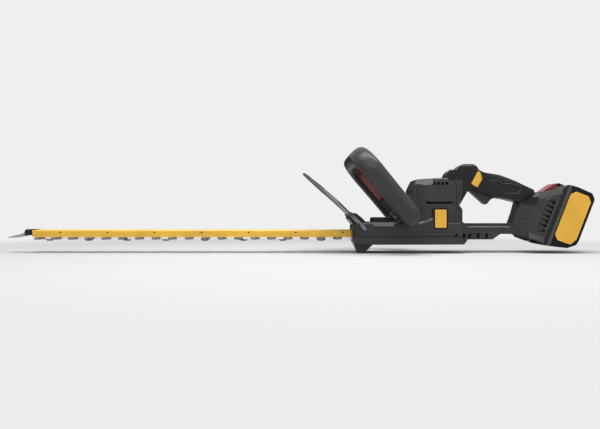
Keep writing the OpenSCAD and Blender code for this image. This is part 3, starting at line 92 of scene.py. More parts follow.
class StageSettings(bpy.types.PropertyGroup):
    """Floor, backdrop, lamps and camera."""

    backdrop: colour("Backdrop", "Colour of the backdrop, which the floor fades into", (0.863, 0.863, 0.863))
    floor: colour("Floor", "Colour of the floor round the trimmer", (0.63, 0.63, 0.63))
    fade_from: size("Fade start", "How far out the floor starts to fade", 520, 0, 5000)
    fade_to: size("Fade end", "How far out the floor is all backdrop", 1100, 0, 5000)
    distance: size("Camera distance", "Distance from the camera to the middle plane", 1144, 500, 5000)
    height: size("Camera height", "Height of the camera above the floor", 74, 10, 1000)
    along: size("Camera place", "Place of the camera along the trimmer", 7.8, -500, 500)
    lens: FloatProperty(
        name="Lens", description="Focal length of the camera", unit="CAMERA", default=34.89, min=10, max=200,
    )
    ambient: FloatProperty(name="Ambient", description="Light from all round", default=0.34, min=0, max=2)
    key: watts("Key lamp", "Power of the main lamp in watts", 8.5)
    fill: watts("Fill lamp", "Power of the fill lamp in watts", 1.5)
    top: watts("Top lamp", "Power of the lamp overhead in watts", 24.0)


class FinishSettings(bpy.types.PropertyGroup):
    """Colours and grain of the finishes."""

    housing: colour("Housing", "Grey of the gear case and motor housing", (0.031, 0.031, 0.032))
    handle: colour("Loop handle", "Grey of the front handle", (0.030, 0.030, 0.031))
    grip: colour("Grip", "Black of the soft grips", (0.0045, 0.0045, 0.005))
    bar: colour("Guide bar", "Yellow of the painted guide bar", (0.81, 0.475, 0.046))
    label: colour("Labels", "Yellow of the labels", (0.76, 0.42, 0.042))
    lever: colour("Switch bar", "Red of the front switch bar", (0.13, 0.018, 0.022))
    release: colour("Release", "Red of the battery release", (0.20, 0.014, 0.019))
    blade: colour("Blades", "Grey of the blade steel", (0.30, 0.29, 0.26))
    grain: FloatProperty(
        name="Grain", description="Grains of the moulded skin per metre", default=1500, min=100, max=5000,
    )
    edge: size("Edge", "Radius of the softened edges of the moulded shells", 0.7, 0.05, 3)


class HandleSettings(bpy.types.PropertyGroup):
    """Sizes of the front handle and its switch bar."""

    lean: FloatProperty(
        name="Lean", description="Lean of the handle towards the bar", unit="ROTATION", subtype="ANGLE",
        default=math.radians(39.8),
    )
    along: size("Foot place", "Place of the handle's foot along the trimmer", 207.3)
    rise: size("Foot height", "Height of the handle's foot", 74.4)
    height: size("Height", "Height of the top bar's middle over the foot, along the lean", 141.5)
    half: size("Half width", "From the middle to the middle of a limb", 94)
    depth: size("Section depth", "Half the depth of the section, front to back", 17.7)
    swell: size("Swell", "How much deeper the section grows at the top bar", 1.6)
    width: size("Section width", "Half the width of the section, across the limb", 13)
    foot_depth: size("Foot depth", "Half the depth of the cross bar", 12.7)
    foot_width: size("Foot width", "Half the height of the cross bar", 11.5)
    wall: size("Wall", "Wall of the two shells", 2.6)
    top_bend: size("Top bend", "Radius of the upper bends", 42)
    low_bend: size("Low bend", "Radius of the lower bends", 16)
    sag: size("Sag", "How far the lower corners hang under the cross bar", 20)
    seat: size("Seat", "Half the length of the cross bar's slim middle", 41.1)
    bar_low: size("Bar end", "Height of the switch bar's lower ends", 42)
    bar_half: size("Bar half width", "Half the width of the switch bar", 7.6)
    bar_proud: size("Bar reach", "How far the switch bar stands out of the limb", 2)
    bar_depth: size("Bar depth", "Depth of the switch bar", 8.9)


class GuardSettings(bpy.types.PropertyGroup):
    """Sizes of the clear hand guard."""

    half: size("Half width", "Half the width of the guard", 58.5)
    thick: size("Thickness", "Thickness of the sheet", 3)
    foot: side_point("Foot", "Along and up, where the sheet starts", 133, 48.5)
    knee: side_point("Knee", "Along and up, where the sheet bends", 80, 99.8)
    tip: side_point("Tip", "Along and up, where the sheet ends", 15.5, 156)
    arch: size("Arch", "How far the sheet's middle stands in front of its edges", 1.4)
    low: size("Sheet start", "Height at which the sheet starts", 62)
    full: size("Full height", "Height at which the sheet is widest", 108)


SETTINGS = {
    "trimmer_stage": StageSettings, "trimmer_finish": FinishSettings,
    "trimmer_handle": HandleSettings, "trimmer_guard": GuardSettings,
}


# ---------- nodes ----------
def new_group(name, family, inputs, outputs):
    """A node group, its input's sockets and its output's; an input is (name, kind), or has its value too."""
    group = bpy.data.node_groups.new(name, family + "NodeTree")
    for label, kind, *value in inputs:
        socket = group.interface.new_socket(name=label, in_out="INPUT", socket_type="NodeSocket" + kind)
        if value:
            socket.default_value = value[0]
    for label, kind in outputs:
        group.interface.new_socket(name=label, in_out="OUTPUT", socket_type="NodeSocket" + kind)
    return group, group.nodes.new("NodeGroupInput").outputs, group.nodes.new("NodeGroupOutput").inputs


def add(tree, kind, links=(), **values):
    """Adds a node; values set its attributes, links are (input, source socket or value)."""
    node = tree.nodes.new(kind)
    for key, value in values.items():
        setattr(node, key, value)
    for key, source in links:
        if isinstance(source, bpy.types.NodeSocket):
            tree.links.new(source, node.inputs[key])
        else:
            node.inputs[key].default_value = source
    return node


def maths(tree, operation, a, b=0.0, clamp=False):
    return add(tree, "ShaderNodeMath", [(0, a), (1, b)], operation=operation, use_clamp=clamp).outputs[0]


def remap(tree, value, low, high, to_low, to_high):
    """Carries a value over from one range to another, and keeps it inside."""
    links = [("Value", value), ("From Min", low), ("From Max", high), ("To Min", to_low), ("To Max", to_high)]
    return add(tree, "ShaderNodeMapRange", links).outputs["Result"]


def blend_colours(tree, factor, a, b, mode="MIX"):
    """A mix of two colours: sockets 6 and 7 of the node are its colour inputs, and 2 its colour output."""
    links = [(0, factor), (6, a), (7, b)]
    return add(tree, "ShaderNodeMix", links, data_type="RGBA", blend_type=mode).outputs[2]


def noise(tree, place, scale, detail):
    links = [("Vector", place), ("Scale", scale), ("Detail", detail)]
    return add(tree, "ShaderNodeTexNoise", links).outputs[0]


def spread(tree, value, low, high):
    """Spreads the usual run of a noise, 0.3 to 0.7, from low to high."""
    return remap(tree, value, 0.3, 0.7, low, high)


def rgba(value):
    """A colour with full alpha."""
    return (*value[:3], 1.0)


# ---------- finishes ----------
# what a finish's group puts out
SURFACE = (("Colour", "Color"), ("Roughness", "Float"), ("Normal", "Vector"))


def give(group, out, tint, rough, height, depth, distance):
    """Links a group's colour, roughness and bump to its outputs."""
    bump = add(group, "ShaderNodeBump", [("Height", height), ("Strength", depth), ("Distance", distance)])
    for label, source in (("Colour", tint), ("Roughness", rough), ("Normal", bump.outputs[0])):
        group.links.new(source, out[label])


def moulded_skin_group():
    """Spark-eroded skin of a moulding: fine grain, faint cloudy colour, and scuffs that shine a little."""
    group, given, out = new_group("Moulded skin", "Shader", [
        ("Colour", "Color", (0.03, 0.03, 0.03, 1)), ("Grain", "Float", 1500.0), ("Depth", "Float", 0.2),
        ("Roughness", "Float", 0.5), ("Scuffs", "Float", 0.3),
    ], SURFACE)
    place = add(group, "ShaderNodeTexCoord").outputs["Object"]
    grain = noise(group, place, given["Grain"], 2.0)
    cloud = noise(group, place, 22.0, 3.0)
    askew = [("Vector", place), ("Rotation", (0.3, 0.5, 0.2)), ("Scale", (40, 900, 300))]
    scuff = noise(group, add(group, "ShaderNodeMapping", askew).outputs[0], 1.0, 2.0)
    worn = maths(group, "MULTIPLY", remap(group, scuff, 0.66, 0.74, 0, 1), given["Scuffs"])
    shade = spread(group, cloud, 0.88, 1.12)
    tinted = blend_colours(group, 1.0, given["Colour"], shade, "MULTIPLY")
    paler = blend_colours(group, worn, tinted, blend_colours(group, 0.35, tinted, (0.3, 0.3, 0.3, 1)))
    rough = maths(group, "ADD", given["Roughness"], spread(group, grain, -0.06, 0.08))
    rough = maths(group, "SUBTRACT", rough, maths(group, "MULTIPLY", worn, 0.15), True)
    give(group, out, paler, rough, grain, given["Depth"], 0.2 * MM)
    return group


# noise scales along x, y and z: lines along the bar, and no lines at all
FINE_LINES, EVEN = (30.0, 2500.0, 2500.0), (900, 900, 900)


def ground_steel_group():
    """Ground steel: fine lines, darker and oilier patches, and a paler strip as far as Spine from y = 0."""
    group, given, out = new_group("Ground steel", "Shader", [
        ("Colour", "Color", (0.5, 0.5, 0.5, 1)), ("Lines", "Vector", FINE_LINES), ("Depth", "Float", 0.2),
        ("Roughness", "Float", 0.35), ("Stain", "Float", 0.3), ("Spine", "Float", 0.0),
    ], SURFACE)
    place = add(group, "ShaderNodeTexCoord").outputs["Object"]
    off = maths(group, "ABSOLUTE", add(group, "ShaderNodeSeparateXYZ", [("Vector", place)]).outputs["Y"])
    spine = maths(group, "LESS_THAN", off, given["Spine"])
    stretched = add(group, "ShaderNodeVectorMath", [(0, place), (1, given["Lines"])], operation="MULTIPLY")
    lines = noise(group, stretched.outputs[0], 1.0, 3.0)
    patch = noise(group, place, 60.0, 4.0)
    stain = maths(group, "MULTIPLY", remap(group, patch, 0.45, 0.7, 0, 1), given["Stain"])
    shade = spread(group, lines, 0.85, 1.12)
    tinted = blend_colours(group, 1.0, given["Colour"], shade, "MULTIPLY")
    dull = blend_colours(group, 1.0, tinted, (0.45, 0.40, 0.33, 1), "MULTIPLY")
    rough = maths(group, "ADD", given["Roughness"], spread(group, lines, -0.08, 0.1))
    rough = maths(group, "ADD", rough, maths(group, "MULTIPLY", stain, 0.25), True)
    worn = blend_colours(group, stain, tinted, dull)
    paler = blend_colours(group, spine, worn, (0.85, 0.84, 0.81, 1))
    give(group, out, paler, rough, lines, given["Depth"], 0.1 * MM)
    return group


GROUPS = {}
MATERIALS = {}


def new_material(name, group, values):
    """A material whose colour, roughness and normal come from a finish's group."""
    material = bpy.data.materials.new(name)
    material.use_nodes = True
    tree = material.node_tree
    shader = tree.nodes["Principled BSDF"]
    node = tree.nodes.new("ShaderNodeGroup")
    node.node_tree = GROUPS[group]
    for key, value in values.items():
        node.inputs[key].default_value = value
    for label, socket in (("Colour", "Base Color"), ("Roughness", "Roughness"), ("Normal", "Normal")):
        tree.links.new(node.outputs[label], shader.inputs[socket])
    return material, tree, shader


def plastic(name, tint, grain=1500.0, depth=0.2, roughness=0.5, scuffs=0.3, level=0.3):
    material, _, shader = new_material(name, "Moulded skin", {
        "Colour": rgba(tint), "Grain": grain, "Depth": depth, "Roughness": roughness, "Scuffs": scuffs,
    })
    shader.inputs["Specular IOR Level"].default_value = level
    return material


def steel(name, tint, lines=FINE_LINES, depth=0.2, roughness=0.35, stain=0.3, metallic=1.0, spine=0.0):
    material, _, shader = new_material(name, "Ground steel", {
        "Colour": rgba(tint), "Lines": lines, "Depth": depth, "Roughness": roughness, "Stain": stain,
        "Spine": spine,
    })
    shader.inputs["Metallic"].default_value = metallic
    return material


def clear_plastic(name, tint, roughness, face_on, edge_on):
    """Smoky clear sheet: thin when faced, darker along the sheet."""
    material, tree, shader = new_material(name, "Moulded skin", {
        "Colour": rgba(tint), "Grain": 500.0, "Depth": 0.02, "Roughness": roughness, "Scuffs": 0.5,
    })
    facing = add(tree, "ShaderNodeLayerWeight").outputs["Facing"]
    tree.links.new(remap(tree, facing, 0.2, 0.95, face_on, edge_on), shader.inputs["Alpha"])
    return material


def make_materials(finish):
    """Every material by its slot; a row leaves out its last values where they are the usual ones."""
    GROUPS["Moulded skin"] = moulded_skin_group()
    GROUPS["Ground steel"] = ground_steel_group()
    grain = finish.grain
    # name, tint, grain, depth, roughness, scuffs, level
    plastics = {
        "bar_yellow": ("Bar paint", finish.bar, 2200, 0.05, 0.38, 0.8, 0.5),
        "magnet": ("Ferrite", (0.03, 0.03, 0.032), 600, 0.5, 0.6, 0.3),
        "black_plastic": ("Black moulding", finish.grip, grain, 0.10, 0.35, 0.12, 0.3),
        "grey_plastic": ("Housing moulding", finish.housing, grain, 0.10, 0.33, 0.12, 0.3),
        "handle_plastic": ("Handle moulding", finish.handle, grain * 0.8, 0.12, 0.33, 0.12, 0.35),
        "soft_black": ("Soft grip", finish.grip, grain * 0.6, 0.2, 0.38, 0.05, 0.3),
        "switch_red": ("Switch bar red", finish.lever, 900, 0.08, 0.35, 0.3, 0.5),
        "release_red": ("Release red", finish.release, 900, 0.08, 0.35, 0.3, 0.5),
        "label_yellow": ("Label yellow", finish.label, 1200, 0.04, 0.4, 0.2, 0.4),
        "insert_yellow": ("Insert yellow", finish.label, 1200, 0.06, 0.42, 0.2, 0.4),
        "trigger_grey": ("Trigger moulding", (0.022, 0.022, 0.023), grain, 0.15, 0.45, 0.3, 0.4),
        "button_grey": ("Button grey", (0.30, 0.30, 0.30), grain, 0.1, 0.4, 0.2, 0.4),
        "board_green": ("Board lacquer", (0.01, 0.09, 0.035), 400, 0.1, 0.35, 0.1, 0.5),
        # a lighter copy of the housing grey: painted highlight on facets, beads, ribs and rims
        "highlight_grey": ("Rim grey", (0.045, 0.045, 0.047), grain, 0.08, 0.3, 0.1, 0.4),
        # lighter than the grip black: painted highlight on the grip's rims and the hump's ribs
        "highlight_black": ("Rim black", (0.028, 0.028, 0.030), grain * 0.6, 0.08, 0.3, 0.1, 0.35),
        # a lighter copy of the battery plastic: painted highlight on the slanting corner cuts
        "pack_edge_highlight": ("Battery edge", (0.045, 0.048, 0.054), grain, 0.08, 0.3, 0.1, 0.4),
        # near black: painted shade in the vent slots, notches, holes and under the foot; the label borders
        # and the flag board use it too
        "vent_black": ("Vent lining", (0.002, 0.002, 0.002), grain, 0.05, 0.7, 0.0, 0.1),
        "switch_black": ("Switch body", (0.012, 0.012, 0.012), 800, 0.1, 0.4, 0.2, 0.4),
        "cell_blue": ("Cell sleeve", (0.03, 0.12, 0.30), 300, 0.02, 0.3, 0.1, 0.5),
        "holder_white": ("Cell holder", (0.55, 0.54, 0.50), 900, 0.1, 0.5, 0.1, 0.4),
        "pack_plastic": ("Battery moulding", (0.005, 0.005, 0.006), grain, 0.10, 0.36, 0.12, 0.14),
    }
    # name, tint, lines along x, y and z, depth, roughness, stain, metallic, spine
    steels = {
        "blade_steel": ("Blade steel", finish.blade, (60, 1800, 1800), 0.25, 0.42, 0.6, 1.0, 14.6 * MM),
        "bright_steel": ("Bright steel", (0.55, 0.55, 0.55), EVEN, 0.05, 0.3, 0.15),
        "nose_steel": ("Nose plate steel", (0.42, 0.42, 0.42), (40, 1500, 1500), 0.2, 0.45, 0.3),
        "black_screw": ("Blackened screw", (0.03, 0.03, 0.03), EVEN, 0.1, 0.4, 0.3, 0.6),
        "cast_metal": ("Cast alloy", (0.50, 0.50, 0.51), (500, 500, 500), 0.5, 0.55, 0.2),
        "gear_steel": ("Gear steel", (0.42, 0.42, 0.42), (900, 900, 60), 0.1, 0.3, 0.3),
        "motor_steel": ("Motor can", (0.35, 0.35, 0.36), (700, 700, 30), 0.1, 0.4, 0.3),
        "rotor_metal": ("Rotor stack", (0.35, 0.20, 0.10), (30, 30, 2500), 0.4, 0.45, 0.5),
        "bar_screw": ("Browned screw", (0.10, 0.065, 0.02), EVEN, 0.1, 0.45, 0.3, 0.6),
        "spring_steel": ("Spring wire", (0.5, 0.5, 0.52), (1500, 1500, 1500), 0.05, 0.25, 0.1),
    }
    # name, tint, roughness, alpha face on, alpha edge on
    clears = {
        "guard_clear": ("Guard plastic", (0.15, 0.15, 0.155), 0.15, 0.42, 0.75),
        "guard_edge": ("Guard edge", (0.02, 0.02, 0.022), 0.2, 0.92, 0.95),
        "guard_arm": ("Guard arm", (0.20, 0.20, 0.205), 0.2, 0.85, 0.9),
    }
    for maker, rows in ((plastic, plastics), (steel, steels), (clear_plastic, clears)):
        for slot, values in rows.items():
            MATERIALS[slot] = maker(*values)


def paint(obj, slot):
    """Gives an object one material."""
    obj.data.materials.clear()
    obj.data.materials.append(MATERIALS[slot])


# ---------- soft edges and plain meshes ----------
SHARP = math.radians(35)
WELD = 1e-6
TREES = {}


MESH = ("Geometry", "Geometry")


def crisp_tree():
    """Shades smooth, but keeps edges sharper than a given angle."""
    tree, given, out = new_group("Crisp shading", "Geometry", [MESH, ("Angle", "Float", SHARP)], [MESH])
    smooth = add(tree, "GeometryNodeSetShadeSmooth", [("Geometry", given["Geometry"])], domain="FACE")
    angle = add(tree, "GeometryNodeInputMeshEdgeAngle").outputs["Unsigned Angle"]
    sharp = add(tree, "FunctionNodeCompare", [(0, angle), (1, given["Angle"])], operation="GREATER_THAN")
    links = [("Geometry", smooth.outputs[0]), ("Selection", sharp.outputs[0]), ("Shade Smooth", False)]
    crisp = add(tree, "GeometryNodeSetShadeSmooth", links, domain="EDGE")
    tree.links.new(crisp.outputs[0], out["Geometry"])
    return tree


def row_tree():
    """A row of equal blocks: instances along a line, made real."""
    tree, given, out = new_group("Row of blocks", "Geometry", [
        MESH, ("Count", "Int"), ("Start", "Vector"), ("Step", "Vector"), ("Size", "Vector"),
        ("Turn", "Rotation"), ("Material", "Material"),
    ], [MESH])
    links = [("Count", given["Count"]), ("Start Location", given["Start"]), ("Offset", given["Step"])]
    line = add(tree, "GeometryNodeMeshLine", links, mode="OFFSET").outputs[0]
    block = add(tree, "GeometryNodeMeshCube", [("Size", given["Size"])]).outputs["Mesh"]
    links = [("Points", line), ("Instance", block), ("Rotation", given["Turn"])]
    row = add(tree, "GeometryNodeInstanceOnPoints", links).outputs[0]
    both = add(tree, "GeometryNodeJoinGeometry", [(0, given["Geometry"])])
    tree.links.new(add(tree, "GeometryNodeRealizeInstances", [(0, row)]).outputs[0], both.inputs[0])
    links = [("Geometry", both.outputs[0]), ("Material", given["Material"])]
    done = add(tree, "GeometryNodeSetMaterial", links)
    tree.links.new(done.outputs[0], out["Geometry"])
    return tree


def soft_edges(obj, width, angle=math.radians(30)):
    """Adds a bevel, which rounds the edges that are sharper than an angle."""
    bevel = obj.modifiers.new("Soft edges", "BEVEL")
    bevel.width, bevel.segments = width, 2
    bevel.limit_method, bevel.angle_limit = "ANGLE", angle
    return bevel


def soften(obj, width):
    """Rounds a CAD shape's sharp edges with live modifiers, which leave its mesh as it is."""
    obj.modifiers.new("Weld", "WELD").merge_threshold = WELD
    flat = obj.modifiers.new("Flat faces", "DECIMATE")
    flat.decimate_type = "DISSOLVE"
    flat.angle_limit = math.radians(1)
    soft_edges(obj, width).miter_outer = "MITER_ARC"
    obj.modifiers.new("Crisp shading", "NODES").node_group = TREES["Crisp shading"]
    obj.modifiers.new("Weighted normals", "WEIGHTED_NORMAL").keep_sharp = True


def baked(obj):
    """Puts the outcome of an object's modifiers in its mesh, and takes them off."""
    bpy.context.view_layer.update()
    done = bpy.data.meshes.new_from_object(obj.evaluated_get(bpy.context.evaluated_depsgraph_get()))
    obj.modifiers.clear()
    obj.data = done


def crisp(obj):
    """Shades a plain mesh smooth, but for its sharp edges."""
    obj.data.shade_smooth()
    obj.data.set_sharp_from_angle(angle=SHARP)


# ---------- shapes ----------
def rounded(corners, steps=10, closed=True):
    """A polyline through corners (a, b, radius), each turned into an arc."""
    path = []
    for i, (a, b, radius) in enumerate(corners):
        here = Vector((a, b))
        if not closed and i in (0, len(corners) - 1) or radius == 0:
            path.append(here)
            continue
        before = (Vector(corners[i - 1][:2]) - here).normalized()
        after = (Vector(corners[(i + 1) % len(corners)][:2]) - here).normalized()
        half = before.angle(after) / 2
        back = radius / math.tan(half)
        centre = here + (before + after).normalized() * (radius / math.sin(half))
        for k in range(steps + 1):
            blend = (here + before * back).lerp(here + after * back, k / steps) - centre
            path.append(centre + blend.normalized() * radius)
    return path


def spaced(path, gap, closed=True):
    """The same polyline with points at even steps of about one gap, and the normals on its right."""
    loop = path + [path[0]] if closed else path
    lengths = [0.0]
    for a, b in zip(loop, loop[1:]):
        lengths.append(lengths[-1] + (b - a).length)
    count = max(3, round(lengths[-1] / gap))
    total = count if closed else count + 1
    points, k = [], 0
    for i in range(total):
        want = lengths[-1] * i / count
        while k < len(lengths) - 2 and lengths[k + 1] < want:
            k += 1
        span = lengths[k + 1] - lengths[k]
        points.append(loop[k].lerp(loop[k + 1], (want - lengths[k]) / span if span else 0))
    normals = []
    for i in range(total):
        a = points[i - 1] if closed or i else points[0]
        b = points[(i + 1) % total] if closed or i < total - 1 else points[-1]
        along = (b - a).normalized()
        normals.append(Vector((along.y, -along.x)))
    return points, normals


def skin(rings, closed):
    """Vertices and faces between rings of equal length, with caps where the rings don't close."""
    n, count = len(rings[0]), len(rings)
    vertices = [point for ring in rings for point in ring]
    faces = []
    for i in range(count if closed else count - 1):
        a, b = i * n, (i + 1) % count * n
        faces += [(a + k, a + (k + 1) % n, b + (k + 1) % n, b + k) for k in range(n)]
    if not closed:
        faces.append(tuple(range(n - 1, -1, -1)))
        faces.append(tuple((count - 1) * n + k for k in range(n)))
    return vertices, faces


def prism(outline, low, high, place):
    """A slab of an outline (a, b) between two depths; place turns (a, b, depth) into a point."""
    return skin([[place(a, b, depth) for a, b in outline] for depth in (low, high)], False)


def joined(shapes):
    """Several (vertices, faces) as one."""
    vertices, faces = [], []
    for points, loops in shapes:
        base = len(vertices)
        vertices += points
        faces += [tuple(base + k for k in loop) for loop in loops]
    return vertices, faces


# The shapes below are in millimetres. An outline is (along, up) or (along, up, corner radius), and a
# depth is across, from the middle plane.
SIDES = (-1, 1)


def oblong(left, right, low, high, *radius):
    """An outline with four corners."""
    return [(left, low, *radius), (right, low, *radius), (right, high, *radius), (left, high, *radius)]


def slab(outline, low, high):
    """A prism across the trimmer, between two depths."""
    return prism(outline, low, high, lambda a, b, y: Vector((a, y, b)) * MM)


def wedge(start, end, section):
    """A bar along a line between two points (along, up), with the section (depth, over the line)."""
    return skin([[Vector((x, y, z + over)) * MM for y, over in section] for x, z in (start, end)], False)


def rim(corners, wide, low, high, slope):
    """A raised band round an outline, from one depth to another, with its lips cut at a slope."""
    points, normals = spaced(rounded(corners, 6), 1.5)
    lip = high - math.copysign(min(slope, abs(high - low)), high)
    half, flat = wide / 2, wide / 2 - slope
    section = [(-half, low), (-half, lip), (-flat, high), (flat, high), (half, lip), (half, low)]
    rings = []
    for p, n in zip(points, normals):
        rings.append([Vector((p.x + n.x * out, y, p.y + n.y * out)) * MM for out, y in section])
    return skin(rings, True)


# The same shapes on both sides
def slabs(outline, low, high):
    return joined([slab(outline, s * low, s * high) for s in SIDES])


def wedges(start, end, section):
    return joined([wedge(start, end, [(s * y, over) for y, over in section]) for s in SIDES])


def rims(corners, wide, low, high, slope=0.6):
    return joined([rim(corners, wide, s * low, s * high, slope) for s in SIDES])


def mirrored_row(count, start, step, block, turn=(0, 0, 0)):
    """A row of blocks on each side, as row_piece takes them; the turn, in radians, is mirrored too."""
    (x, y, z), (dx, dy, dz), (ax, ay, az) = start, step, turn
    return [(count, (x, s * y, z), (dx, s * dy, dz), block, (ax, ay, s * az)) for s in SIDES]


# ---------- pieces ----------
def new_object(name, data):
    obj = bpy.data.objects.new(name, data)
    bpy.context.scene.collection.objects.link(obj)
    return obj


def welded(mesh, step):
    """Merges a mesh's doubles, and does one more step of work on it."""
    work = bmesh.new()
    work.from_mesh(mesh)
    bmesh.ops.remove_doubles(work, verts=work.verts, dist=WELD)
    step(work)
    work.to_mesh(mesh)
    work.free()
    return mesh


def new_mesh(name, shape):
    """A mesh of a shape, with its normals outward."""
    mesh = bpy.data.meshes.new(name)
    mesh.from_pydata([tuple(point) for point in shape[0]], [], shape[1])
    return welded(mesh, lambda work: bmesh.ops.recalc_face_normals(work, faces=work.faces))


def cut_away(obj, cuts):
    """Cuts shapes out of an object's mesh."""
    cutter = new_object("Cutter", new_mesh("Cutter", joined(cuts)))
    cut = obj.modifiers.new("Cuts", "BOOLEAN")
    cut.operation, cut.solver, cut.object, cut.use_self = "DIFFERENCE", "EXACT", cutter, True
    baked(obj)
    bpy.data.objects.remove(cutter)


def finish(obj, slot, marks=()):
    """Gives an object its material; a mark (slot, test) gives another to the faces that pass its test."""
    paint(obj, slot)
    for other, test in marks:
        obj.data.materials.append(MATERIALS[other])
        for face in obj.data.polygons:
            if face.material_index == 0 and test(face):
                face.material_index = len(obj.data.materials) - 1


def settle(obj, body, replaces=()):
    """Makes a finished piece part of the trimmer."""
    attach(obj, body)
    if replaces:
        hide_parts(*replaces)


def piece(name, shape, body, slot, replaces=(), bevel=0.0, marks=(), cuts=()):
    """A piece of its own: cut, given its materials, and its edges rounded by a bevel in millimetres."""
    obj = new_object(name, new_mesh(name, shape))
    if cuts:
        cut_away(obj, cuts)
    finish(obj, slot, marks)
    if bevel:
        soft_edges(obj, bevel * MM, SHARP)
        baked(obj)
    crisp(obj)
    settle(obj, body, replaces)


def flat_faces(work):
    """Joins a mesh's triangles into its flat faces."""
    bmesh.ops.dissolve_limit(work, angle_limit=math.radians(0.5), verts=work.verts, edges=work.edges)


def carved(name, node, cuts, marks):
    """A copy of a CAD node with extra cuts, which stands for the node."""
    obj = new_object(name, welded(NODES[node].data.copy(), flat_faces))
    cut_away(obj, cuts)
    finish(obj, SLOT_OF[node], marks)
    soften(obj, finish_settings().edge)
    baked(obj)
    settle(obj, BODY_OF[node], [node])


def row_piece(name, body, slot, lines, bevel):
    """One piece of several rows of blocks; a line is (count, start, step, block's size, turn in radians)."""
    obj = new_object(name, bpy.data.meshes.new(name))
    tree = TREES["Row of blocks"]
    sockets = {item.name: item.identifier for item in tree.interface.items_tree if item.in_out == "INPUT"}
    for count, start, step, block, turn in lines:
        row = obj.modifiers.new("Row", "NODES")
        row.node_group = tree
        row[sockets["Count"]] = count
        for label, value in (("Start", start), ("Step", step), ("Size", block)):
            row[sockets[label]] = [v * MM for v in value]
        row[sockets["Turn"]] = turn
        row[sockets["Material"]] = MATERIALS[slot]
    soft_edges(obj, bevel * MM)
    baked(obj)
    crisp(obj)
    settle(obj, body)


# ---------- operators ----------
def finish_settings():
    return bpy.context.scene.trimmer_finish


# CAD nodes whose finish isn't their slot's own
OTHER_FINISH = {
    "bar_screws": "bar_screw", "blade_screws": "bar_screw", "blade_washers": "black_screw",
    "nose_rivet": "bar_yellow",
}
# CAD nodes that get soft edges: the thick ones the whole radius, the thin ones a share of it
THICK = ("bottom_cover", "battery_cover", "rear_grip_left", "rear_grip_right", "trigger", "release_button",
         "guard_bracket")
THIN = ("side_plates", "grip_inserts", "battery_labels", "bar_end_cap", "guide_bar", "nose_plate")
THIN_SHARE = 0.4


class TRIMMER_OT_finishes(bpy.types.Operator):
    """Make every material and give the CAD pieces theirs"""

    bl_idname = "trimmer.finishes"
    bl_label = "Finishes"

    def execute(self, context):
        make_materials(finish_settings())
        TREES["Crisp shading"] = crisp_tree()
        TREES["Row of blocks"] = row_tree()
        for name, obj in NODES.items():
            paint(obj, OTHER_FINISH.get(name, SLOT_OF[name]))
        return {"FINISHED"}


class TRIMMER_OT_shells(bpy.types.Operator):
    """Soften the edges of the moulded shells and plates"""

    bl_idname = "trimmer.shells"
    bl_label = "Moulded shells"

    def execute(self, context):
        for names, share in ((THICK, 1), (THIN, THIN_SHARE)):
            for name in names:
                soften(NODES[name], finish_settings().edge * share)
        return {"FINISHED"}


# cuts in the housing's sides: sections of the two long chamfers (depth, over the line), and outlines
SHOULDER = [(38.6, -16.5), (38.6, 8), (24.5, 8)]
CROWN = [(42, -16.5), (42, 2), (24.5, 2)]
SOLE = [(415, 12), (415, 38.6), (422, 36.9), (471.6, 21.6), (471.6, 12)]
CASE_LINE = oblong(112, 300, 39.2, 40.8)
COVER_SEAM = oblong(100, 316, 31, 33.4)
# grooves in the side of the motor housing: path, width and depth of the floor
GROOVES = [
    ([(231.6, 90), (231.6, 128)], 1.8, 34.6),
    ([(240, 66), (240, 128)], 0.9, 36.6),
    ([(262.5, 141), (296, 141), (304, 134), (306, 124), (306, 84), (301, 62)], 1.2, 34.6),
    ([(313.4, 121), (301.6, 92), (312.4, 84), (312.4, 66), (318, 60.6)], 1.0, 34.8),
    ([(330, 54.2), (424, 54.2)], 2.6, 15.6),
]
# depths that are outside the case, and outside the motor housing
CLEAR, GROOVE_TOP = 42, 40.6
# the faces of the sole lie further along than this, and lower
SOLE_FROM, SOLE_TOP = 420 * MM, 45 * MM
# the facets and beads are drawn lighter than the housing, as a painted highlight
# sections (depth, over the line) of the facets that run into the foot and the nose, and of the beads
FLARE = [(37, 0), (38.02, 0), (41.6, -9.5), (40.4, -11.6), (37, -11.6)]
RAMP = [(35, 1.6), (37.6, 1.6), (40.5, -2.6), (40.5, -4), (35, -4)]
BRIDGE_BEAD = [(16.6, -1.2), (18.6, -1.2), (16.6, 1.8)]
CASE_BEAD = [(39.6, 1), (42.4, 1), (39.6, 5.4)]
RIB, RIB_TURN = (8.5, 2, 2), (0, 0.12, math.radians(37.6))
DOT = (1.5, 1.4, 1.5)


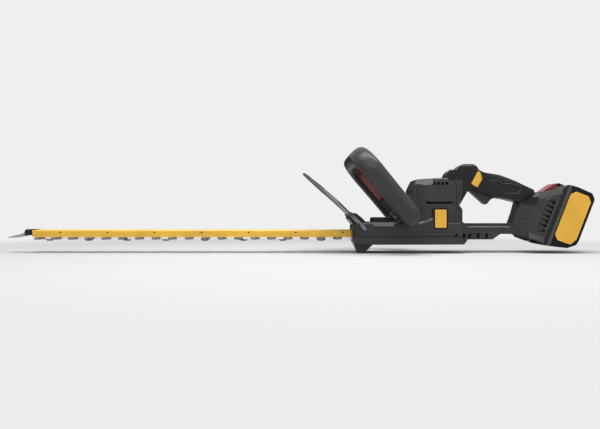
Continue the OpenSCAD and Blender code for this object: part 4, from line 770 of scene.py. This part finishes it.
class TRIMMER_OT_housing(bpy.types.Operator):
    """Carve the housing halves; add the deck's pad, facets, beads and ribs in painted highlight, and shade
    dots
    """

    bl_idname = "trimmer.housing"
    bl_label = "Housing"

    def execute(self, context):
        for node, side in (("housing_left", -1), ("housing_right", 1)):
            # the foot's underside over the battery gets the near black of painted shade
            carved(node.replace("housing", "case"), node, self.cuts(side), [("vent_black", self.on_sole)])
        facets = [wedges((443, 40.4), (470.3, 30.6), FLARE), wedges((232, 57), (260.8, 66.4), RAMP)]
        piece("case_facets", joined(facets), "body", "highlight_grey", bevel=0.3)
        beads = [wedges((330, 50.2), (414, 50.2), BRIDGE_BEAD), wedges((147, 50.6), (186, 50.6), CASE_BEAD)]
        piece("case_beads", joined(beads), "body", "highlight_grey")
        self.deck_pad()
        ribs = mirrored_row(3, (446.4, 32.6, 80.4), (-3.6, -2.8, -10.6), RIB, RIB_TURN)
        row_piece("foot_ribs", "body", "highlight_grey", ribs, 0.6)
        # near-black dots of painted shade stand for small holes in the housing's corner
        dots = mirrored_row(3, (307.5, 34.9, 90), (1.6, 0, -4.4), DOT)
        dots += mirrored_row(3, (310.6, 34.6, 88.4), (0.4, 0, -4.4), DOT)
        row_piece("corner_dots", "body", "vent_black", dots, 0.2)
        return {"FINISHED"}

    def on_sole(self, face):
        """The foot's underside, which lies in the dark over the battery."""
        return face.normal.z < -0.8 and face.center.x > SOLE_FROM and face.center.z < SOLE_TOP

    def cuts(self, s):
        """Cuts on one half; s is -1 for the half at negative y."""
        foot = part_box("housing_left")[1].x / MM
        cuts = [
            wedge((foot - 73.6, 112.5), (foot + 1.4, 131.2), [(s * y, over) for y, over in SHOULDER]),
            wedge((200, 141), (263, 143.4), [(s * y, over) for y, over in CROWN]),
            slab(SOLE, -s, s * 40),
            slab(CASE_LINE, s * 39.2, s * CLEAR),
            slab(COVER_SEAM, s * 37.8, s * CLEAR),
        ]
        for path, wide, floor in GROOVES:
            for a, b in zip(map(Vector, path), map(Vector, path[1:])):
                along = (b - a).normalized() * wide / 2
                across = Vector((-along.y, along.x))
                corners = [a - along - across, b + along - across, b + along + across, a - along + across]
                cuts.append(slab(corners, s * floor, s * GROOVE_TOP))
        return cuts

    def deck_pad(self):
        """A domed pad that covers the CAD pad."""
        low, high = (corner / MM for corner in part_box("top_pad"))
        reach, foot, dome = 2, 0.6, 2.2
        left, right, base, top = low.x - reach, high.x + reach, low.z + foot, high.z + dome
        cap = rounded([(left, base, 0.5), (right, base, 0.5), (right, top, 3), (left, top, 3.6)], 5)
        half = high.y + reach
        piece("deck_pad", slab(cap, -half, half), "body", "black_plastic", ["top_pad"], 1.6)


# the battery's leaning frame: its foot (along, up) and its lean from upright
PACK_FOOT, PACK_TILT = (471, 18.5), math.radians(21.2)


def in_pack(q, h):
    """Along and up of a point of the battery's frame: q back from the housing's foot, h up the lean."""
    c, s = math.cos(PACK_TILT), math.sin(PACK_TILT)
    return PACK_FOOT[0] + q * c + h * s, PACK_FOOT[1] - q * s + h * c


# slots under the belly, which reach further across (half) as far as the lower cover goes
BELLY_SLOTS = (304, 320.2, 336.6, 353, 369.4)
COVER_END, LONG_HALF, SHORT_HALF = 325, 37, 18
# the openings in the sides, and the vented panel beside the battery
SIDE_SLOT = oblong(247.8, 299.2, 94.6, 98.2)
CROWN_SLOT = oblong(260, 292, 130.2, 136.2)
SIDE_FRAME = oblong(262.6, 287.4, 47.2, 84.8, 1)
PANEL = [(477, 102.6, 3), (486, 105.2, 3), (495, 102.6, 1.8), (496.4, 98, 2), (476.3, 47, 1.5),
         (473, 45.4, 1.5), (458.5, 46, 1.5), (457, 50, 2), (459, 61, 6), (471, 89, 8)]
SLAT_PITCH = 9.36
SLAT, NOTCH = (14, 1.6, 5.2), (5, 2, 4.4)


class TRIMMER_OT_vents(bpy.types.Operator):
    """Fill the vents with painted shade, and add the vented panels beside the battery"""

    bl_idname = "trimmer.vents"
    bl_label = "Vents"

    def execute(self, context):
        # near-black sheets in the slots are painted shade, for the dark inside the openings; the frame round
        # the side's lower panel is the same near black
        slot_shade = []
        for x in BELLY_SLOTS:
            half = LONG_HALF if x < COVER_END else SHORT_HALF
            slot = [(x - 3.4, 28.2), (x + 1.4, 28.2), (x + 3.4, 37.4), (x - 1.2, 37.4)]
            slot_shade.append(slab(slot, -half, half))
        slot_shade += [slabs(SIDE_SLOT, 33.2, 34.4), slabs(CROWN_SLOT, 31, 31.8)]
        slot_shade.append(rims(SIDE_FRAME, 1.8, 39.6, 40.75, 0.2))
        piece("vent_liners", joined(slot_shade), "body", "vent_black")
        # the panel's raised rims are lighter, as a painted highlight
        piece("vent_rims", rims(PANEL, 2.2, 37, 39.2), "body", "highlight_grey")
        # the black backing behind the slats is painted shade, the dark seen between them
        piece("vent_backs", slabs([(a, b) for a, b, _ in PANEL], 36.2, 37.7), "body", "black_plastic")
        row_piece("vent_slats", "body", "grey_plastic", self.louvres(6, -16, 28, 38, SLAT), 0.5)
        # the near-black notches at the slats' ends are painted shade
        row_piece("vent_notches", "body", "vent_black", self.louvres(7, -10.2, 23.4, 38.3, NOTCH), 0.2)
        return {"FINISHED"}

    def louvres(self, count, q, h, depth, block):
        """Rows up both panels, along the battery's lean."""
        x, z = in_pack(q, h)
        step = (SLAT_PITCH * math.sin(PACK_TILT), 0, SLAT_PITCH * math.cos(PACK_TILT))
        return mirrored_row(count, (x, depth, z), step, block, (0, PACK_TILT, 0))


GRIP_PAD = [(372, 140.4, 2), (388, 140, 2), (401.4, 133.6, 2), (415.9, 133.2, 2), (434, 129.4, 2),
            (437.6, 124.4, 2), (430.4, 114.6, 2), (408, 114.6, 2), (398, 121, 2), (384, 131.6, 2)]


class TRIMMER_OT_grips(bpy.types.Operator):
    """Add the pads of the rear grip with their rims, and the ribs on its hump; rims and ribs carry painted
    highlight
    """

    bl_idname = "trimmer.grips"
    bl_label = "Rear grip"

    def execute(self, context):
        piece("grip_rims", rims(GRIP_PAD, 1.7, 16.6, 18.9, 0.7), "body", "highlight_black")
        piece("grip_pads", slabs([(a, b) for a, b, _ in GRIP_PAD], 16, 18.3), "body", "soft_black")
        ribs = mirrored_row(4, (294.5, 16.4, 147), (4.5, 0, 4), (1.6, 1.6, 7), (0, math.radians(-38), 0))
        row_piece("hump_ribs", "body", "highlight_black", ribs, 0.5)
        return {"FINISHED"}


# in the battery's frame: the crest's outline, the label's edge, and the section of the cut down each corner
CREST = [(-6.6, 117.5), (-6.6, 122.2), (-4, 123.4), (5, 123.6), (5.8, 121), (0.3, 117.5)]
CREST_HALF = 12.6
LABEL_EDGE = [(21, 115.8, 4), (47.4, 115.8, 6), (56.2, 106.4, 6), (56.2, 29.6, 6), (48.4, 15.7, 6),
              (21.6, 14.7, 6), (12.7, 23.6, 5), (12.7, 106.4, 5)]
CORNER_CUT = [(4, 41), (12, 41), (12, 39.05), (5.9, 35.9), (4, 35.9)]
CORNER_LOW, CORNER_HIGH = 3, 117


class TRIMMER_OT_battery(bpy.types.Operator):
    """Cut the battery case's corners, painted as a highlight, and add its crest and the borders of its labels
    """

    bl_idname = "trimmer.battery"
    bl_label = "Battery"

    def execute(self, context):
        crest = slab([in_pack(q, h) for q, h in CREST], -CREST_HALF, CREST_HALF)
        piece("pack_crest", crest, "battery", "pack_plastic", bevel=0.6)
        border = [(*in_pack(q, h), radius) for q, h, radius in LABEL_EDGE]
        piece("label_borders", rims(border, 2.2, 38.2, 39.35, 0.5), "battery", "vent_black")
        cuts = []
        for s in SIDES:
            section = [(q, s * y) for q, y in CORNER_CUT]
            cuts.append(prism(section, CORNER_LOW, CORNER_HIGH, self.point))
        carved("pack_case", "battery_case", cuts, [("pack_edge_highlight", self.on_corner)])
        return {"FINISHED"}

    def point(self, q, y, h):
        """A point of the battery's frame, placed."""
        x, z = in_pack(q, h)
        return Vector((x, y, z)) * MM

    def on_corner(self, face):
        """The slanting floors of the corner cuts, painted lighter as a highlight."""
        return 0.3 < abs(face.normal.y) < 0.96 and face.normal.x < -0.2


# the front handle's sweeps, the power of its oval sections, and where its swell starts and spreads
SWEEP_STEP = 4 * MM
OVAL = 0.8
SWELL_FROM, SWELL_ACROSS = 0.35, 0.6
# how far the cross bar's shoulders stand beyond its seat, and their radius
SHOULDER_REACH, SHOULDER_BEND = 11 * MM, 20 * MM
# gaps round the switch bar, beside the seam and between the two shells
BAR_GAP, SEAM_GAP, SHELL_GAP = 0.8 * MM, 0.2 * MM, 0.08 * MM
# screw wells: places across and up the lean, the hole's radius and ends, and the tube's radii and ends
WELLS = [(s * across, up) for s in SIDES for across, up in ((97, 30), (97, 88), (48, 146))]
HOLE, HOLE_ENDS = 3.3, (-24, -13)
TUBE_IN, TUBE_OUT, TUBE_FRONT, TUBE_BACK = 3.25, 4.4, -17, -10.5


def half_section(a, b, wall, start, gap, steps=18):
    """Half of a hollow oval for x > 0: round the outside from the inner side, and back inside."""

    def arc(a, b):
        first = -math.acos(min(1.0, (start / a) ** (1 / OVAL)))
        last = math.acos((gap / a) ** (1 / OVAL))
        points = []
        for i in range(steps + 1):
            t = first + (last - first) * i / steps
            points.append((a * abs(math.cos(t)) ** OVAL, math.copysign(b * abs(math.sin(t)) ** OVAL, t)))
        return points

    return arc(a, b) + arc(a - wall, b - wall)[::-1]


class TRIMMER_OT_front_handle(bpy.types.Operator):
    """Sweep the two shells of the front handle and its switch bar round the loop"""

    bl_idname = "trimmer.front_handle"
    bl_label = "Front handle"

    def execute(self, context):
        h = context.scene.trimmer_handle
        shoulder, bend = h.seat + SHOULDER_REACH, SHOULDER_BEND
        points, normals = spaced(rounded([
            (-shoulder, 0, bend), (shoulder, 0, bend), (h.half, -h.sag, h.low_bend),
            (h.half, h.height, h.top_bend), (-h.half, h.height, h.top_bend), (-h.half, -h.sag, h.low_bend),
        ], 24), SWEEP_STEP)
        self.shell(h, "loop_shell_front", "handle_front_shell", -1, points, normals)
        self.wells(h)
        self.shell(h, "loop_shell_rear", "handle_rear_shell", 1, points, normals)
        self.switch_bar(h)
        return {"FINISHED"}

    def leaning(self, h, x, y, z):
        """A point of the handle's frame, placed: z runs up the lean, and x away from the bar."""
        c, s = math.cos(h.lean), math.sin(h.lean)
        return Vector((h.along + x * c - z * s, y, h.rise + x * s + z * c))

    def swept(self, h, point, normal, section):
        """A section (x, out along the normal) at a point of the loop."""
        spots = [(x, point + normal * out) for x, out in section]
        return [self.leaning(h, x, spot.x, spot.y) for x, spot in spots]

    def well_ring(self, h, well, radius, x):
        """A circle round a screw's axis, in millimetres."""
        ring = []
        for k in range(24):
            t = k * math.pi / 12
            y, z = well[0] + radius * math.cos(t), well[1] + radius * math.sin(t)
            ring.append(self.leaning(h, x * MM, y * MM, z * MM))
        return ring

    def shell(self, h, name, node, side, points, normals):
        """One half of the loop: slim in its seat, swelling to the top bar, and slotted for the switch bar."""
        rings = []
        for point, normal in zip(points, normals):
            slim = abs(point.x) < h.seat and point.y < h.height / 2
            grown = h.swell * max(0.0, point.y / h.height - SWELL_FROM) / (1 - SWELL_FROM)
            a, b = h.depth + grown, h.width + grown * SWELL_ACROSS
            if slim:
                a, b = h.foot_depth, h.foot_width
            slotted = point.y > h.bar_low - 1 * MM
            start = h.bar_half + BAR_GAP if slotted else SEAM_GAP
            section = half_section(a, b, h.wall, start, SHELL_GAP)
            rings.append(self.swept(h, point, normal, [(side * x, out) for x, out in section]))
        holes = []
        if side < 0:
            holes = [skin([self.well_ring(h, well, HOLE, x) for x in HOLE_ENDS], False) for well in WELLS]
        piece(name, skin(rings, True), "body", "handle_plastic", [node], cuts=holes)

    def wells(self, h):
        """The tubes in which the screws sit."""
        tubes = []
        section = [(TUBE_IN, TUBE_FRONT), (TUBE_OUT, TUBE_FRONT), (TUBE_OUT, TUBE_BACK), (TUBE_IN, TUBE_BACK)]
        for well in WELLS:
            tubes.append(skin([self.well_ring(h, well, radius, x) for radius, x in section], True))
        piece("screw_wells", joined(tubes), "body", "handle_plastic")

    def switch_bar(self, h):
        """The bar inside the loop: a dished face with two lips, and a flange at the back."""
        points, normals = spaced(rounded([
            (h.half, h.bar_low, 0), (h.half, h.height, h.top_bend), (-h.half, h.height, h.top_bend),
            (-h.half, h.bar_low, 0),
        ], 24, False), SWEEP_STEP, False)
        w, face = h.bar_half, -h.width - h.bar_proud
        back = face + h.bar_depth
        lip, soft, dish, flange = 1.3 * MM, 0.5 * MM, 0.9 * MM, 2.2 * MM
        half = [(w - lip - soft, face + dish), (w - lip, face), (w - soft, face), (w, face + 0.7 * MM),
                (w, back - flange), (w + flange, back - flange), (w + flange, back)]
        section = [(-x, out) for x, out in half][::-1] + half
        rings = [self.swept(h, point, normal, section) for point, normal in zip(points, normals)]
        piece("switch_bar", skin(rings, False), "front_switch", "switch_red", ["front_switch_bar"], 0.35)


# outline of the guard's side arms, and how far their screws' heads stand out of them
ARM = [(98.5, 74, 1), (104, 79, 1), (134, 49.5, 2.5), (134, 43, 2), (129, 43, 2)]
SCREW_HEAD = 1.7
# the sheet: facets across, share of its width at the foot, the powers of its rounded top, and its facing
FACETS = 18
FOOT_SHARE = 0.75
TOP_POWERS = 2.3, 0.55
FACING = Vector((0.69, 0, 0.72))


class TRIMMER_OT_guard(bpy.types.Operator):
    """Bend the clear guard, with its side arms and their rims"""

    bl_idname = "trimmer.guard"
    bl_label = "Hand guard"

    def execute(self, context):
        g = context.scene.trimmer_guard
        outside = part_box("guard_screws")[1].y / MM - SCREW_HEAD
        inside = outside - g.thick / MM

        def on_edge(face):
            turned = abs(face.normal.dot(FACING)) < 0.6 and abs(face.normal.y) < 0.98
            return turned or face.center.y == 0

        def on_arm(face):
            return abs(face.normal.y) >= 0.98 and abs(face.center.y) > (inside - 0.1) * MM

        arms = slabs(rounded(ARM, 4), inside, outside)
        marks = [("guard_edge", on_edge), ("guard_arm", on_arm)]
        piece("guard_sheet", joined([self.sheet(g), arms]), "body", "guard_clear", ["hand_guard"], 0.5, marks)
        piece("guard_rims", rims(ARM, 0.9, outside - 0.2, outside + 0.4, 0.2), "body", "guard_edge")
        return {"FINISHED"}

    def sheet(self, g):
        """The sheet, bent at its knee and arched across."""
        path = rounded([(*g.foot, 0), (*g.knee, 150 * MM), (*g.tip, 0)], 10, False)
        rings = []
        for p, n in zip(*spaced(path, 3 * MM, False)):
            if p.y <= g.low:
                continue
            half = self.half_width(g, p.y)
            ring = []
            for side, thick in ((1, 0), (-1, g.thick)):
                for k in range(FACETS + 1):
                    u = (2 * k / FACETS - 1) * side
                    lift = g.arch * (1 - u * u) + thick
                    ring.append(Vector((p.x - n.x * lift, u * half, p.y - n.y * lift)))
            rings.append(ring)
        return skin(rings, False)

    def half_width(self, g, z):
        """Narrow at the foot, widest where the settings say, and rounded to the tip."""
        if z < g.full:
            t = (z - g.low) / (g.full - g.low)
            return g.half * (FOOT_SHARE + (1 - FOOT_SHARE) * t * t * (3 - 2 * t))
        top = g.tip[1] + 0.8 * MM
        high, wide = TOP_POWERS
        return g.half * max(0.0, 1 - ((z - g.full) / (top - g.full)) ** high) ** wide


class TRIMMER_OT_bar(bpy.types.Operator):
    """Add the pins behind the holes of the guide bar"""

    bl_idname = "trimmer.bar"
    bl_label = "Bar pins"

    def execute(self, context):
        pins = mirrored_row(7, (-458.5, 9.6, 39.2), (91.6, 0, 0), (4.4, 2, 4.4))
        row_piece("bar_pins", "body", "bar_screw", pins, 0.4)
        return {"FINISHED"}


# ---------- stage ----------
# name, setting of its power, place, what it is aimed at, width and height
LAMPS = (
    ("Key lamp", "key", (-0.1, -1.6, 1.3), (0.1, 0, 0.08), 1.4, 1.0),
    ("Fill lamp", "fill", (1.3, -1.2, 0.5), (0.2, 0, 0.08), 1.0, 1.0),
    ("Top lamp", "top", (0.1, -0.3, 1.4), (0.1, 0, 0), 1.7, 0.55),
)
FLOOR_HALF, FLOOR_DROP = 9, 0.5 * MM
# the board that only reflections meet: its ends along, its height and its place behind the trimmer
FLAG_LEFT, FLAG_RIGHT, FLAG_TOP, FLAG_BACK = -0.7, 0.35, 0.45, 0.9


def board(name, corners, material):
    """A flat face of the stage."""
    mesh = bpy.data.meshes.new(name)
    mesh.from_pydata(corners, [], [(0, 1, 2, 3)])
    obj = new_object(name, mesh)
    obj.data.materials.append(material)
    return obj


def bare_tree(owner):
    """The node tree of a material or a world, emptied."""
    owner.use_nodes = True
    owner.node_tree.nodes.clear()
    return owner.node_tree


class TRIMMER_OT_stage(bpy.types.Operator):
    """Set the floor, the backdrop, the lamps and the camera"""

    bl_idname = "trimmer.stage"
    bl_label = "Stage"

    def execute(self, context):
        s = context.scene.trimmer_stage
        self.floor(s)
        self.flag()
        self.world(s)
        for lamp in LAMPS:
            self.lamp(s, *lamp)
        self.camera(s)
        context.scene.view_settings.view_transform = "Standard"
        return {"FINISHED"}

    def lamp(self, s, name, setting, spot, target, across, tall):
        data = bpy.data.lights.new(name, "AREA")
        data.shape = "RECTANGLE"
        data.size, data.size_y, data.energy = across, tall, getattr(s, setting)
        obj = new_object(name, data)
        obj.location = spot
        obj.rotation_euler = (Vector(target) - Vector(spot)).to_track_quat("-Z", "Y").to_euler()

    def camera(self, s):
        """A level camera that looks along +y."""
        data = bpy.data.cameras.new("Camera")
        data.lens, data.sensor_width = s.lens, 36
        data.clip_start, data.clip_end = 0.01, 50
        obj = new_object("Camera", data)
        obj.location = (s.along, -s.distance, s.height)
        obj.rotation_euler = (math.pi / 2, 0, 0)
        bpy.context.scene.camera = obj

    def floor(self, s):
        """A matt floor that fades into the backdrop further out, where only the camera sees it fade."""
        material = bpy.data.materials.new("Floor paint")
        tree = bare_tree(material)
        place = add(tree, "ShaderNodeTexCoord").outputs["Object"]
        away = add(tree, "ShaderNodeVectorMath", [(0, place)], operation="LENGTH").outputs["Value"]
        links = [("Value", away), ("From Min", s.fade_from), ("From Max", s.fade_to)]
        fade = add(tree, "ShaderNodeMapRange", links, interpolation_type="SMOOTHSTEP").outputs[0]
        seen = maths(tree, "MULTIPLY", fade, add(tree, "ShaderNodeLightPath").outputs["Is Camera Ray"])
        matt = add(tree, "ShaderNodeBsdfDiffuse", [("Color", rgba(s.floor))])
        plain = add(tree, "ShaderNodeEmission", [("Color", rgba(s.backdrop))])
        mixed = add(tree, "ShaderNodeMixShader", [(0, seen), (1, matt.outputs[0]), (2, plain.outputs[0])])
        add(tree, "ShaderNodeOutputMaterial", [("Surface", mixed.outputs[0])])
        r, z = FLOOR_HALF, -FLOOR_DROP
        board("Floor", [(-r, -r, z), (r, -r, z), (r, r, z), (-r, r, z)], material)

    def flag(self):
        """A black board behind, which only reflections meet: it keeps the ends of the mouldings dark."""
        left, right, top, back = FLAG_LEFT, FLAG_RIGHT, FLAG_TOP, FLAG_BACK
        corners = [(left, back, 0), (right, back, 0), (right, back, top), (left, back, top)]
        obj = board("Flag", corners, MATERIALS["vent_black"])
        obj.visible_camera = obj.visible_diffuse = obj.visible_shadow = obj.visible_transmission = False

    def world(self, s):
        """Soft light from all round, and the plain backdrop for what is seen, reflected or seen through."""
        world = bpy.data.worlds.new("Studio")
        bpy.context.scene.world = world
        tree = bare_tree(world)
        rays = add(tree, "ShaderNodeLightPath").outputs
        direct = maths(tree, "MAXIMUM", rays["Is Camera Ray"], rays["Is Transmission Ray"])
        seen = maths(tree, "MAXIMUM", direct, rays["Is Glossy Ray"])
        soft = add(tree, "ShaderNodeBackground", [("Color", (1, 1, 1, 1)), ("Strength", s.ambient)])
        plain = add(tree, "ShaderNodeBackground", [("Color", rgba(s.backdrop)), ("Strength", 1.0)])
        mixed = add(tree, "ShaderNodeMixShader", [(0, seen), (1, soft.outputs[0]), (2, plain.outputs[0])])
        add(tree, "ShaderNodeOutputWorld", [("Surface", mixed.outputs[0])])


OPERATORS = (
    TRIMMER_OT_finishes, TRIMMER_OT_shells, TRIMMER_OT_housing, TRIMMER_OT_vents, TRIMMER_OT_grips,
    TRIMMER_OT_battery, TRIMMER_OT_front_handle, TRIMMER_OT_guard, TRIMMER_OT_bar, TRIMMER_OT_stage,
)


class TRIMMER_PT_panel(bpy.types.Panel):
    """Lists the trimmer's pieces"""

    bl_idname = "TRIMMER_PT_panel"
    bl_label = "Hedge trimmer"
    bl_space_type = "VIEW_3D"
    bl_region_type = "UI"
    bl_category = "Trimmer"

    def draw(self, context):
        for operator in OPERATORS:
            self.layout.operator(operator.bl_idname)


def register():
    for cls in (*SETTINGS.values(), *OPERATORS, TRIMMER_PT_panel):
        bpy.utils.register_class(cls)
    for name, cls in SETTINGS.items():
        setattr(bpy.types.Scene, name, PointerProperty(type=cls))


def unregister():
    for name in SETTINGS:
        delattr(bpy.types.Scene, name)
    for cls in reversed((*SETTINGS.values(), *OPERATORS, TRIMMER_PT_panel)):
        bpy.utils.unregister_class(cls)


def main():
    register()
    for operator in OPERATORS:
        family, name = operator.bl_idname.split(".")
        getattr(getattr(bpy.ops, family), name)()


if __name__ == "__main__":
    main()
